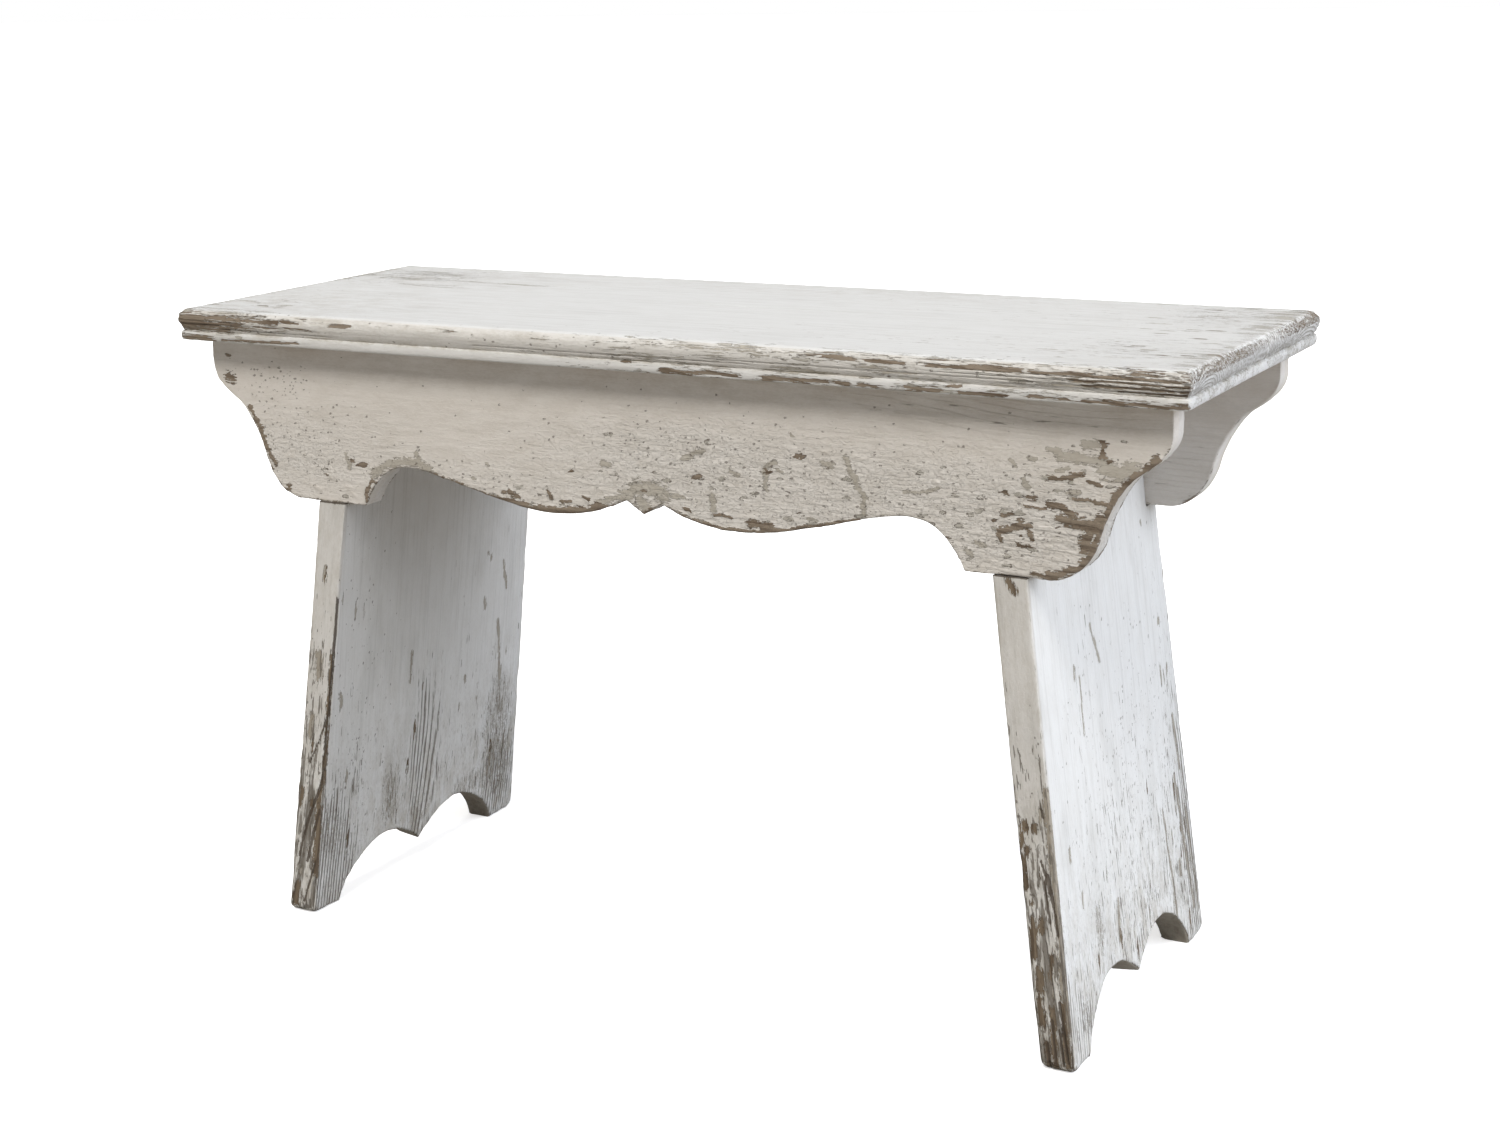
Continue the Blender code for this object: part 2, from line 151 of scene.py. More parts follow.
# Half of the apron's lower edge, from the middle outwards: each point is the anchor, the handle
# before it and the handle after it. Across is a share of half the length, and down a share of
# the height. The leg's arch is listed the same way below, with up as a share of its height.
APRON_EDGE_SHARES = [
    ((0.000, 0.866), None, None),
    ((0.038, 0.794), None, (0.082, 0.864)),
    ((0.198, 0.916), (0.137, 0.916), (0.308, 0.916)),
    ((0.527, 0.728), (0.462, 0.728), (0.588, 0.728)),
    ((0.637, 1.000), (0.615, 0.868), None),
    ((0.791, 1.000), None, (0.841, 1.000)),
    ((0.878, 0.746), (0.871, 0.842), (0.885, 0.632)),
    ((0.940, 0.395), (0.916, 0.452), (0.967, 0.338)),
    ((1.000, 0.158), (1.000, 0.263), None),
]
ARCH_SHARES = [
    ((0.000, ARCH_TIP_HEIGHT / ARCH_HEIGHT), None, (0.160, 0.780)),
    ((0.460, 1.000), (0.300, 1.000), (0.700, 1.000)),
    ((1.000, 0.000), (0.962, 0.433), None),
]

# Worn places on the front apron, in millimetres from the middle of its top edge: the line that
# each follows and its width. Bare ones are down to the wood, primed ones to the grey undercoat.
FRONT_APRON_BARE = [
    (((-351, -27), (-346, -29)), 6.4), (((-351, -12), (-349, -13)), 3.4),
    (((-333, -49), (-323, -64), (-319, -77), (-312, -89)), 4.0), (((-301, -106),), 5.3),
    (((-230, -111), (-229, -103), (-224, -95)), 2.2),
    (((-131, -98), (-115, -99), (-99, -101)), 3.6), (((-111, -93),), 3.6), (((-106, -92),), 3.5),
    (((-115, -100), (-94, -103), (-66, -103), (-44, -101), (-36, -97)), 5.6),
    (((-107, -93), (-99, -95)), 3.6), (((-75, -90), (-72, -95)), 3.5),
    (((-64, -96), (-56, -96)), 2.1), (((55, -94), (68, -95)), 2.0), (((81, -98), (96, -98)), 5.4),
    (((42, -100), (57, -103), (84, -103), (110, -99)), 2.4), (((31, -92), (36, -94)), 2.7),
    (((-47, -91), (-42, -93)), 2.1), (((-37, -95), (-31, -96)), 2.1),
    (((286, -50), (296, -49), (308, -46)), 3.1), (((312, -50), (320, -52)), 3.1),
    (((321, -27), (321, -34)), 4.3),
    (((355, -33), (350, -39), (337, -49), (329, -58), (323, -75), (316, -92), (307, -105),
      (287, -112)), 4.6),
    (((320, -73), (314, -83), (310, -92)), 7.4), (((302, -62), (314, -62), (327, -64)), 2.5),
    (((288, -66), (295, -68), (304, -72)), 4.4), (((294, -76), (307, -77), (319, -79)), 5.0),
    (((274, -63), (279, -63)), 3.1), (((272, -69), (285, -69)), 1.8),
    (((256, -76), (264, -74)), 2.5), (((257, -85), (267, -82), (275, -80)), 3.2),
    (((254, -85), (257, -92)), 3.2), (((275, -86), (276, -89)), 3.2),
    (((269, -94), (275, -94)), 1.8), (((276, -111), (283, -111)), 2.5),
    (((104, -100), (132, -94), (160, -88)), 2.0),
]
FRONT_APRON_PRIMED = [
    (((-247, -78), (-243, -88)), 2.9),
    (((-223, -90), (-208, -81), (-196, -80), (-184, -79), (-174, -83)), 5.9),
    (((-185, -72), (-182, -79)), 3.6), (((-124, -75),), 2.8), (((-136, -86),), 3.6),
    (((-14, -89), (-5, -82), (7, -81), (16, -84)), 9.7), (((-3, -90), (2, -95)), 8.3),
    (((-15, -88), (-26, -91), (-36, -94)), 3.5), (((19, -84), (31, -85)), 2.7),
    (((-32, -67), (-26, -67)), 3.4), (((30, -60), (36, -57)), 3.4), (((38, -56), (46, -52)), 3.4),
    (((91, -61), (99, -55)), 3.3), (((92, -61), (93, -74)), 3.3), (((100, -60), (104, -62)), 2.6),
    (((66, -64), (71, -66)), 3.3), (((53, -83), (53, -92)), 4.1), (((110, -36), (113, -37)), 2.0),
    (((149, -48), (152, -54), (158, -66), (163, -74), (162, -85)), 3.9),
    (((134, -53), (140, -54)), 3.9), (((190, -67), (205, -66), (214, -63)), 1.9),
    (((285, -32), (293, -32)), 3.1), (((294, -36), (309, -36), (325, -38)), 6.2),
    (((309, -27), (317, -28)), 5.5), (((323, -42), (332, -44), (340, -41)), 9.8),
    (((271, -51), (273, -57)), 3.7), (((274, -39), (278, -39)), 3.1),
    (((298, -58), (307, -57)), 2.5), (((233, -101), (237, -103)), 3.9),
    (((239, -95), (245, -96)), 3.2), (((124, -90), (128, -91)), 3.3),
    (((261, -41), (265, -44)), 1.9), (((292, -45), (299, -43)), 2.5),
]
FRONT_APRON_DENTS = [
    (((-300, -83), (-291, -84)), 2.2), (((-285, -81), (-278, -82)), 2.2),
    (((-261, -91), (-261, -96)), 3.0), (((-255, -89), (-257, -95)), 4.4),
    (((-249, -101), (-244, -104), (-240, -108)), 2.2),
    (((-288, -102), (-279, -103), (-270, -107)), 2.2), (((53, -60), (56, -60)), 2.7),
    (((58, -59), (60, -59)), 2.7), (((63, -60), (65, -60)), 2.7), (((76, -83), (79, -86)), 2.7),
    (((122, -37), (125, -36)), 1.8), (((156, -47), (161, -48)), 2.6),
    (((133, -46), (137, -46)), 2.6), (((212, -58), (215, -61)), 2.5),
    (((216, -49), (217, -55)), 1.8),
]


# Repeatable noise for the boards' relief and wear

def lattice(x, y, z, seed):
    """A repeatable number from 0 to 1 at each whole-number place."""
    mixed = (x * 374761393 + y * 668265263 + z * 1440662683 + seed * 83492791) & 0xFFFFFFFF
    mixed = ((mixed ^ (mixed >> 13)) * 1274126177) & 0xFFFFFFFF
    mixed = ((mixed ^ (mixed >> 16)) * 1103515245) & 0xFFFFFFFF
    return ((mixed >> 7) & 0xFFFF) / 65535.0


def smooth_noise(places, seed):
    """Smooth noise from 0 to 1, with one swell to each unit of distance."""
    base = np.floor(places).astype(np.int64)
    part = places - base
    part = part * part * (3 - 2 * part)
    total = np.zeros(len(places))
    for corner in range(8):
        step = (corner & 1, (corner >> 1) & 1, (corner >> 2) & 1)
        weight = np.ones(len(places))
        for axis in range(3):
            weight = weight * (part[:, axis] if step[axis] else 1 - part[:, axis])
        at = [base[:, axis] + step[axis] for axis in range(3)]
        total += weight * lattice(at[0], at[1], at[2], seed)
    return total


def cloud(places, size, seed, layers=3):
    """Layered noise from about -1 to 1. The size says how long a swell is on each axis."""
    total = np.zeros(len(places))
    reach = 0.0
    for layer in range(layers):
        share = 0.5 ** layer
        scaled = places / np.asarray(size) * 2 ** layer + 17.3 * layer
        total += share * (smooth_noise(scaled, seed + layer) * 2 - 1)
        reach += share
    return total / reach * 1.6


def flecks(along, across, spacing, size, share, seed):
    """Scattered oval marks: 1 in the middle of each and 0 from its rim outwards."""
    cell_u = np.floor(along / spacing[0]).astype(np.int64)
    cell_v = np.floor(across / spacing[1]).astype(np.int64)
    nearest = np.zeros(len(along))
    for du in (-1, 0, 1):
        for dv in (-1, 0, 1):
            u, v = cell_u + du, cell_v + dv
            here = lattice(u, v, 0 * u, seed) < share
            middle_u = (u + lattice(u, v, 0 * u + 1, seed)) * spacing[0]
            middle_v = (v + lattice(u, v, 0 * u + 2, seed)) * spacing[1]
            scale = 0.4 + 0.6 * lattice(u, v, 0 * u + 3, seed)
            reach = np.hypot((along - middle_u) / size[0], (across - middle_v) / size[1]) / scale
            nearest = np.maximum(nearest, np.where(here, 1 - reach, 0))
    return np.clip(nearest, 0, 1)


def smooth_step(value, low, high):
    """0 below the low value and 1 above the high one, with a smooth rise between."""
    part = np.clip((value - low) / (high - low), 0, 1)
    return part * part * (3 - 2 * part)


def worn_lines(along, across, marks):
    """How deep inside the listed worn places each point lies: 0.5 at a rim, 1 in the middle."""
    inside = np.zeros(len(along))
    for path, width in marks:
        ends = list(zip(path[:-1], path[1:])) or [(path[0], path[0])]
        for (u0, v0), (u1, v1) in ends:
            low_u, high_u = min(u0, u1) - width, max(u0, u1) + width
            low_v, high_v = min(v0, v1) - width, max(v0, v1) + width
            near = (along > low_u) & (along < high_u) & (across > low_v) & (across < high_v)
            du, dv = u1 - u0, v1 - v0
            length = max(du * du + dv * dv, 1e-9)
            pu, pv = along[near] - u0, across[near] - v0
            part = np.clip((pu * du + pv * dv) / length, 0, 1)
            distance = np.hypot(pu - part * du, pv - part * dv)
            inside[near] = np.maximum(inside[near], 1 - distance / width)
    return inside


def washes(along, across, blots):
    """Soft blots laid over each other. Each is its middle, its reach both ways and its strength."""
    total = np.zeros(len(along))
    for middle_u, middle_v, reach_u, reach_v, strength in blots:
        far = ((along - middle_u) / reach_u) ** 2 + ((across - middle_v) / reach_v) ** 2
        total += strength * np.exp(-far)
    return total


# Closed boards, built from sheets of points that share their rims

class Skin:
    """The points and faces of one closed board."""

    def __init__(self):
        self.points = []
        self.count = 0
        self.faces = []

    def add(self, points):
        """Take in an array of points and return their numbers in the same layout."""
        layout = points.shape[:-1]
        total = int(np.prod(layout))
        self.points.append(points.reshape(-1, 3))
        numbers = np.arange(self.count, self.count + total).reshape(layout)
        self.count += total
        return numbers

    def sheet(self, numbers):
        """Faces between neighbours of a sheet, where none of the four is missing."""
        quads = np.stack(
            [numbers[:-1, :-1], numbers[1:, :-1], numbers[1:, 1:], numbers[:-1, 1:]], axis=-1)
        quads = quads.reshape(-1, 4)
        self.faces.append(quads[(quads >= 0).all(axis=1)])

    def zip(self, close, kept):
        """Faces between a close row and a row that has only the kept points, -1 elsewhere."""
        held = [index for index, number in enumerate(kept) if number >= 0]
        quads, triangles = [], []
        for first, last in zip(held[:-1], held[1:]):
            if last == first + 1:
                quads.append((close[first], close[last], kept[last], kept[first]))
                continue
            middle = (first + last) // 2
            for index in range(first, middle):
                triangles.append((close[index], close[index + 1], kept[first]))
            triangles.append((close[middle], kept[last], kept[first]))
            for index in range(middle, last):
                triangles.append((close[index], close[index + 1], kept[last]))
        if quads:
            self.faces.append(np.array(quads))
        if triangles:
            self.faces.append(np.array(triangles))

    def mesh(self, name, places):
        """One closed mesh from all the faces, which all face outwards."""
        mesh = bpy.data.meshes.new(name)
        corners = np.concatenate([faces.ravel() for faces in self.faces])
        sizes = np.concatenate([np.full(len(faces), faces.shape[1]) for faces in self.faces])
        starts = np.concatenate([[0], np.cumsum(sizes)[:-1]])
        mesh.vertices.add(len(places))
        mesh.vertices.foreach_set("co", places.ravel())
        mesh.loops.add(len(corners))
        mesh.loops.foreach_set("vertex_index", corners.astype(np.int32))
        mesh.polygons.add(len(sizes))
        mesh.polygons.foreach_set("loop_start", starts.astype(np.int32))
        mesh.update(calc_edges=True)
        mesh.validate()
        work = bmesh.new()
        work.from_mesh(mesh)
        bmesh.ops.recalc_face_normals(work, faces=work.faces)
        work.to_mesh(mesh)
        work.free()
        return mesh


def curve_points(shares, width, height, steps):
    """Points along a run of curves that is given by shares of a width and a height."""
    points = []
    for (start, _, leave), (end, arrive, _) in zip(shares[:-1], shares[1:]):
        straight = leave is None and arrive is None
        first = start if leave is None else leave
        last = end if arrive is None else arrive
        for step in range(steps):
            t = step / steps
            weights = ((1 - t) ** 3, 3 * t * (1 - t) ** 2, 3 * t * t * (1 - t), t ** 3)
            if straight:
                weights = (1 - t, 0, 0, t)
            handles = (start, first, last, end)
            both = [sum(weight * point[axis] for weight, point in zip(weights, handles))
                    for axis in (0, 1)]
            points.append((both[0] * width, both[1] * height))
    points.append((shares[-1][0][0] * width, shares[-1][0][1] * height))
    return np.array(points)


def even_columns(curve, anchors, spacing):
    """Places across a board that follow its curved edge evenly and include each anchor."""
    lengths = np.concatenate([[0], np.cumsum(np.hypot(*np.diff(curve, axis=0).T))])
    kept = [0.0]
    for low, high in zip(anchors[:-1], anchors[1:]):
        at_low, at_high = np.interp([low, high], curve[:, 0], lengths)
        count = max(int(round((at_high - at_low) / spacing)), 1)
        marks = np.interp(np.linspace(at_low, at_high, count + 1)[1:], lengths, curve[:, 0])
        marks[-1] = high
        kept.extend(marks)
    return np.array(kept)


def rim_distance(plane, rim):
    """For each point of a layout, the rim's nearest point and place, and how far off it is."""
    tree = kdtree.KDTree(len(rim))
    for index, (u, v) in enumerate(rim):
        tree.insert((u, v, 0), index)
    tree.balance()
    nearest = np.array([tree.find((u, v, 0))[1] for u, v in plane])
    best = np.full(len(plane), np.inf)
    foot = np.zeros_like(plane)
    for shift in (-1, 0):
        start = rim[(nearest + shift) % len(rim)]
        run = rim[(nearest + shift + 1) % len(rim)] - start
        length = np.maximum((run ** 2).sum(axis=1), 1e-14)
        part = np.clip(((plane - start) * run).sum(axis=1) / length, 0, 1)
        here = start + run * part[:, None]
        far = np.hypot(*(plane - here).T)
        closer = far < best
        best = np.where(closer, far, best)
        foot = np.where(closer[:, None], here, foot)
    return nearest, foot, best


def rim_inward(rim):
    """The direction into the board at each point of a rim."""
    run = np.roll(rim, -1, axis=0) - np.roll(rim, 1, axis=0)
    inward = np.stack([-run[:, 1], run[:, 0]], axis=1)
    inward /= np.maximum(np.hypot(*inward.T), 1e-12)[:, None]
    area = np.sum(rim[:, 0] * np.roll(rim[:, 1], -1) - np.roll(rim[:, 0], -1) * rim[:, 1])
    return inward if area > 0 else -inward


def solid_board(layout, rim_numbers, thickness, inner_skip):
    """A closed board from a flat layout of points, in (across the layout, up it, into the depth).

    The layout is an array of points, missing where it holds no number. The rim lists the layout's
    places in order round the board. The inner face keeps one row in inner_skip.
    """
    rows = layout.shape[1]
    present = ~np.isnan(layout[:, :, 0])
    keep = np.zeros(rows, bool)
    keep[::inner_skip] = True
    for row in (0, rows - 1):
        if any(row == at for _, at in rim_numbers):
            keep[row] = True
    for row in range(1, rows):
        if (present[:, row] != present[:, row - 1]).any():
            keep[row] = True
            keep[row - 1] = True
    skin = Skin()

    def face(depth, chosen):
        usable = present & chosen[None, :]
        places = np.concatenate([layout[usable], np.full((usable.sum(), 1), depth)], axis=1)
        numbers = np.full(present.shape, -1)
        numbers[usable] = skin.add(places)
        return numbers

    outer = face(0.0, np.ones(rows, bool))
    inner = face(thickness, keep)
    skin.sheet(outer)
    skin.sheet(inner[:, keep])
    columns, ups = np.array(rim_numbers).T
    rim = layout[columns, ups]
    wall_steps = max(int(round(thickness / WALL_STEP)), 2)
    depths = thickness * np.arange(1, wall_steps) / wall_steps
    depths[0] = min(depths[0], END_STEP * 2)
    between = np.empty((len(rim), wall_steps - 1, 3))
    between[:, :, :2] = rim[:, None, :]
    between[:, :, 2] = depths[None, :]
    middle = skin.add(between)
    wall = np.concatenate([outer[columns, ups][:, None], middle], axis=1)
    skin.sheet(np.concatenate([wall, wall[:1]]))
    kept = inner[columns, ups]
    start = int(np.argmax(kept >= 0))
    skin.zip(np.roll(wall[:, -1], -start).tolist() + [wall[start, -1]],
             np.roll(kept, -start).tolist() + [kept[start]])
    return skin, rim


def eased(points, rim, thickness, radius):
    """Round a board's arrises over, by a radius that may change from point to point."""
    plane, depth = points[:, :2], points[:, 2]
    nearest, foot, far = rim_distance(plane, rim)
    inward = rim_inward(rim)[nearest]
    off = plane - foot
    inside = far > TOUCH
    inward[inside] = off[inside] / far[inside, None]
    from_face = np.minimum(depth, thickness - depth)
    reach = radius(foot, depth)
    near = (far < reach) & (from_face < reach)
    across = np.where(near, reach - far, 0)
    down = np.where(near, reach - from_face, 0)
    length = np.maximum(np.hypot(across, down), 1e-9)
    new_far = np.where(near, reach - reach * across / length, far)
    new_down = np.where(near, reach - reach * down / length, from_face)
    moved = points.copy()
    shift = (new_far - far)[:, None] * inward
    moved[:, :2] += np.where(near[:, None], shift, 0)
    toward = np.where(depth < thickness / 2, 1, -1)
    moved[:, 2] += np.where(near, (new_down - from_face) * toward, 0)
    edge = np.hypot(far, from_face)
    return moved, edge


def finish_piece(name, skin, places, fields, relief, node, material):
    """Make one piece: push its points out by the relief, none below the floor, and add its fields."""
    mesh = skin.mesh(name, places)
    normals = np.empty(len(places) * 3, np.float32)
    mesh.vertex_normals.foreach_get("vector", normals)
    moved = places + normals.reshape(-1, 3) * relief[:, None]
    moved[:, 2] = np.maximum(moved[:, 2], 0)
    mesh.vertices.foreach_set("co", moved.ravel())
    for label, values in fields.items():
        kind = "FLOAT_VECTOR" if values.ndim == 2 else "FLOAT"
        kept = mesh.attributes.new(label, kind, "POINT")
        kept.data.foreach_set("vector" if values.ndim == 2 else "value", values.ravel())
    mesh.shade_smooth()
    mesh.set_sharp_from_angle(angle=SHARP_TURN)
    mesh.update()
    mesh.materials.append(material)
    piece = bpy.data.objects.new(name, mesh)
    bpy.context.scene.collection.objects.link(piece)
    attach(piece, "root")
    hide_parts(*node)
    return piece


def growth_rings(along, across, depth, pith, pitch, seed):
    """The count of growth rings from the pith, which wanders slowly along the board."""
    places = np.stack([along, 0 * along, 0 * along], axis=1)
    wander = cloud(places, (0.35, 1, 1), seed, 2)
    sway = cloud(places, (0.5, 1, 1), seed + 9, 2)
    everywhere = np.stack([along, across, depth], axis=1)
    knotty = cloud(everywhere, (0.09, 0.03, 0.03), seed + 20, 2)
    middle_across = pith[0] + 0.018 * wander
    middle_depth = pith[1] + 0.012 * sway + 0.05 * along
    radius = np.hypot(across - middle_across, depth - middle_depth)
    return (radius + 0.0012 * knotty) / pitch


def graded(low, high, fine_low, fine_high, coarse, growth=1.3):
    """Places from low to high, close together at the ends that ask for it and growing apart."""
    def run(fine, room):
        marks, at, step = [], 0.0, fine
        while step < coarse and at + step < room:
            at += step
            marks.append(at)
            step *= growth
        return marks
    room = (high - low) / 2
    start = [low + mark for mark in (run(fine_low, room) if fine_low else [])]
    end = [high - mark for mark in (run(fine_high, room) if fine_high else [])]
    inner_low = start[-1] if start else low
    inner_high = end[-1] if end else high
    count = max(int(math.ceil((inner_high - inner_low) / coarse)), 1)
    inner = np.linspace(inner_low, inner_high, count + 1)[1:-1]
    return np.array(sorted({low, high, *start, *end, *inner}))


def edge_rows(rows, reach):
    """Adds close rows at both ends of evenly spaced ones, for the arrises."""
    extra = [step / reach for step in ARRIS_STEPS]
    return np.array(sorted({*rows, *extra, *(1 - share for share in extra)}))


# The aprons

def apron_layout():
    """An apron's points, along its top edge and down from it, and their order round its rim."""
    half = APRON_LENGTH / 2
    curve = curve_points(APRON_EDGE_SHARES, half, APRON_HEIGHT, CURVE_STEPS)
    anchors = [share[0][0] * half for share in APRON_EDGE_SHARES]
    right = even_columns(curve, anchors, APRON_STEP_ALONG)
    columns = np.concatenate([-right[:0:-1], right])
    drop = np.interp(np.abs(columns), curve[:, 0], curve[:, 1])
    rows = edge_rows(np.linspace(0, 1, APRON_ROWS + 1), APRON_HEIGHT)
    layout = np.stack([np.repeat(columns[:, None], len(rows), 1), -drop[:, None] * rows], axis=2)
    last_column, last_row = len(columns) - 1, len(rows) - 1
    rim_numbers = [(i, last_row) for i in range(last_column + 1)]
    rim_numbers += [(last_column, j) for j in range(last_row - 1, -1, -1)]
    rim_numbers += [(i, 0) for i in range(last_column - 1, -1, -1)]
    rim_numbers += [(0, j) for j in range(1, last_row)]
    return layout, rim_numbers


def apron_board(name, node, side, seed, marks, material):
    """A scrolled board on edge. Its layout runs along its top edge and down from it."""
    deep = APRON_RELIEF
    layout, rim_numbers = apron_layout()
    skin, rim = solid_board(layout, rim_numbers, APRON_THICKNESS, INNER_ROW_SKIP)
    flat = np.concatenate(skin.points)

    def radius(foot, depth):
        places = np.column_stack([foot, depth])
        swell = cloud(places, (0.022, 0.022, 0.05), seed + 1, 3)
        worn = smooth_step(-foot[:, 1], 0.05, 0.11)
        return (deep["round"] + deep["round_worn"] * worn) * (1 + 0.6 * swell)

    shaped, edge = eased(flat, rim, APRON_THICKNESS, radius)
    along, across, depth = flat.T
    outer = depth < TOUCH
    u, v = along / MM, across / MM

    def washed(kind):
        return washes(u, v, marks[kind])

    def lined(kind, share=1):
        return worn_lines(u + warp_u * share, v + warp_v * share, marks[kind])

    warp_places = np.column_stack([u, v, 0 * u + side])
    warp_u = 1.3 * cloud(warp_places, (9, 6, 4), seed + 2, 2)
    warp_v = 0.9 * cloud(warp_places, (6, 5, 4), seed + 3, 2)
    everywhere = np.column_stack([along, across, depth])
    ring = growth_rings(along, across, depth, APRON_PITH, APRON_RING, seed + 4)

    wear_noise = cloud(everywhere, (0.016, 0.009, 0.02), seed + 5, 3)
    low_edge = smooth_step(-across, 0.06, 0.105)
    strength = 0.05 + 0.34 * low_edge + washed("arris")
    arris = strength + deep["swing"] * wear_noise - edge / deep["arris_reach"]
    specks = flecks(u, v, (7, 4), (2.6, 1.2), 0.5, seed + 6)
    arris = arris + 0.5 * specks * smooth_step(strength, 0.15, 0.5) * (edge < 0.009)
    on_face = outer | (edge < 0.002)
    bare = np.where(on_face, lined("bare"), 0)
    bare = np.clip(np.maximum(bare, arris), 0, 1)
    undercoat_and_shade = np.where(on_face, lined("undercoat_and_shade"), 0)
    undercoat_and_shade = np.clip(np.maximum(undercoat_and_shade, arris + deep["lead"]), 0, 1)
    rough = np.clip(washed("rough"), 0, 1)
    pits = np.clip(washed("pits"), 0, 1) * outer
    dents = np.where(outer, lined("dents", 0.5), 0)
    knocks = flecks(u + warp_u, v + warp_v, (13, 8), (4.5, 1.5), 0.55, seed + 8) * rough

    bow = deep["bow"] * cloud(everywhere, (0.16, 0.05, 0.2), seed + 10, 2)
    grain = np.abs(((ring % 1) * 2) - 1)
    ridges = cloud(np.column_stack([u, v, depth / MM]), (16, 1.9, 9), seed + 11, 2)
    relief = bow - deep["grain"] * grain - deep["rough"] * rough * (1 + ridges)
    relief -= deep["ridges"] * ridges
    relief -= (deep["dents"] * smooth_step(dents, 0.3, 0.8)
               + deep["knocks"] * smooth_step(knocks, 0.25, 0.8))
    relief -= (deep["bare"] * smooth_step(bare, *LOSS_RIM)
               + deep["undercoat_and_shade"] * smooth_step(undercoat_and_shade, *LOSS_RIM))
    nicks = cloud(everywhere, (0.006, 0.006, 0.006), seed + 12, 2)
    near_edge = smooth_step(deep["nick_reach"] - edge, 0, deep["nick_reach"])
    relief -= deep["nicks"] * near_edge * smooth_step(nicks, 0.2, 1.0)

    dirt_and_shade = 0.25 + 0.3 * smooth_step(0.004 - edge, 0, 0.004) + 0.35 * np.clip(dents + knocks, 0, 1)
    # The dirt washes include a band along the top edge, painted shade under the seat's overhang
    dirt_and_shade = dirt_and_shade + washed("dirt_and_shade")
    placed = np.column_stack([
        shaped[:, 0], side * (APRON_FRONT - shaped[:, 2]), APRON_TOP + shaped[:, 1]])
    fields = {
        "board_place": np.column_stack([along + seed * BOARD_APART, across, depth * side]),
        "ring": ring, "bare": bare, "undercoat_and_shade": undercoat_and_shade, "rough": rough, "pits": pits,
        "dirt_and_shade": np.clip(dirt_and_shade, 0, 1), "raw": np.zeros(len(u)), "split_and_shadow_line": np.zeros(len(u)),
        # The outer face below its top edge gets part of the warm tint: partly the paint's beige,
        # partly painted warm front light
        "warm_light_and_tone": 0.4 * (across < -0.003) * (depth < APRON_THICKNESS / 2),
        "chips": np.clip(washed("chipped"), 0, 1) * outer,
        "slivers": np.clip(washed("slivers"), 0, 1) * outer,
        "grooved": np.clip(washed("grooved"), 0, 1),
    }
    return finish_piece(name, skin, placed, fields, relief, (node,), material)


# The legs

def leg_layout():
    """A leg's points, across it and up it, and their order round its rim and its notches."""
    curve = curve_points(ARCH_SHARES, FOOT_INNER, ARCH_HEIGHT, CURVE_STEPS)
    anchors = [share[0][0] * FOOT_INNER for share in ARCH_SHARES]
    inner = even_columns(curve, anchors, LEG_STEP_ACROSS)
    wing_width = LEG_FLOOR_HALF - LEG_NOTCH
    wing = edge_rows(np.linspace(0, 1, WING_COLUMNS + 1), wing_width)
    right = np.concatenate([inner, LEG_NOTCH + wing_width * wing])
    floor_columns = np.concatenate([-right[:0:-1], right])
    distance = np.abs(floor_columns)
    low = np.interp(distance, curve[:, 0], curve[:, 1])
    low = np.where(distance >= FOOT_INNER, 0, low)
    corner = np.clip(distance - (LEG_FLOOR_HALF - FOOT_ROUND), 0, FOOT_ROUND)
    low = low + FOOT_ROUND - np.sqrt(FOOT_ROUND ** 2 - corner ** 2)
    lower_rows = graded(
        0, 1, FOOT_ROW_SHARE, FOOT_ROW_SHARE, LEG_STEP_ALONG / LEG_SHOULDER, ROW_GROWTH)
    upper_height = APRON_TOP - LEG_SHOULDER
    upper_rows = graded(
        0, 1, SHOULDER_ROW_SHARE, SHOULDER_ROW_SHARE, LEG_STEP_ALONG / upper_height,
        ROW_GROWTH)[1:]
    heights = low[:, None] + (LEG_SHOULDER - low[:, None]) * lower_rows
    taper = (LEG_FLOOR_HALF - APRON_FRONT) / LEG_SHOULDER
    share = np.clip((distance - LEG_NOTCH) / wing_width, 0, 1)[:, None]
    widths = distance[:, None] - share * taper * heights
    lower = np.stack([np.sign(floor_columns)[:, None] * widths, heights], axis=2)
    high = LEG_SHOULDER + upper_height * upper_rows
    upper = np.stack(
        [np.repeat(floor_columns[:, None], len(high), 1), np.repeat(high[None], len(distance), 0)],
        axis=2)
    upper[distance > LEG_NOTCH + TOUCH] = np.nan
    layout = np.concatenate([lower, upper], axis=1)
    columns, rows = layout.shape[:2]
    shoulder = len(lower_rows) - 1
    notches = np.flatnonzero(distance <= LEG_NOTCH + TOUCH)
    left, right_notch = int(notches[0]), int(notches[-1])
    rim_numbers = [(i, 0) for i in range(columns)]
    rim_numbers += [(columns - 1, j) for j in range(1, shoulder + 1)]
    rim_numbers += [(i, shoulder) for i in range(columns - 2, right_notch - 1, -1)]
    rim_numbers += [(right_notch, j) for j in range(shoulder + 1, rows)]
    rim_numbers += [(i, rows - 1) for i in range(right_notch - 1, left - 1, -1)]
    rim_numbers += [(left, j) for j in range(rows - 2, shoulder - 1, -1)]
    rim_numbers += [(i, shoulder) for i in range(left - 1, -1, -1)]
    rim_numbers += [(0, j) for j in range(shoulder - 1, 0, -1)]
    return layout, rim_numbers


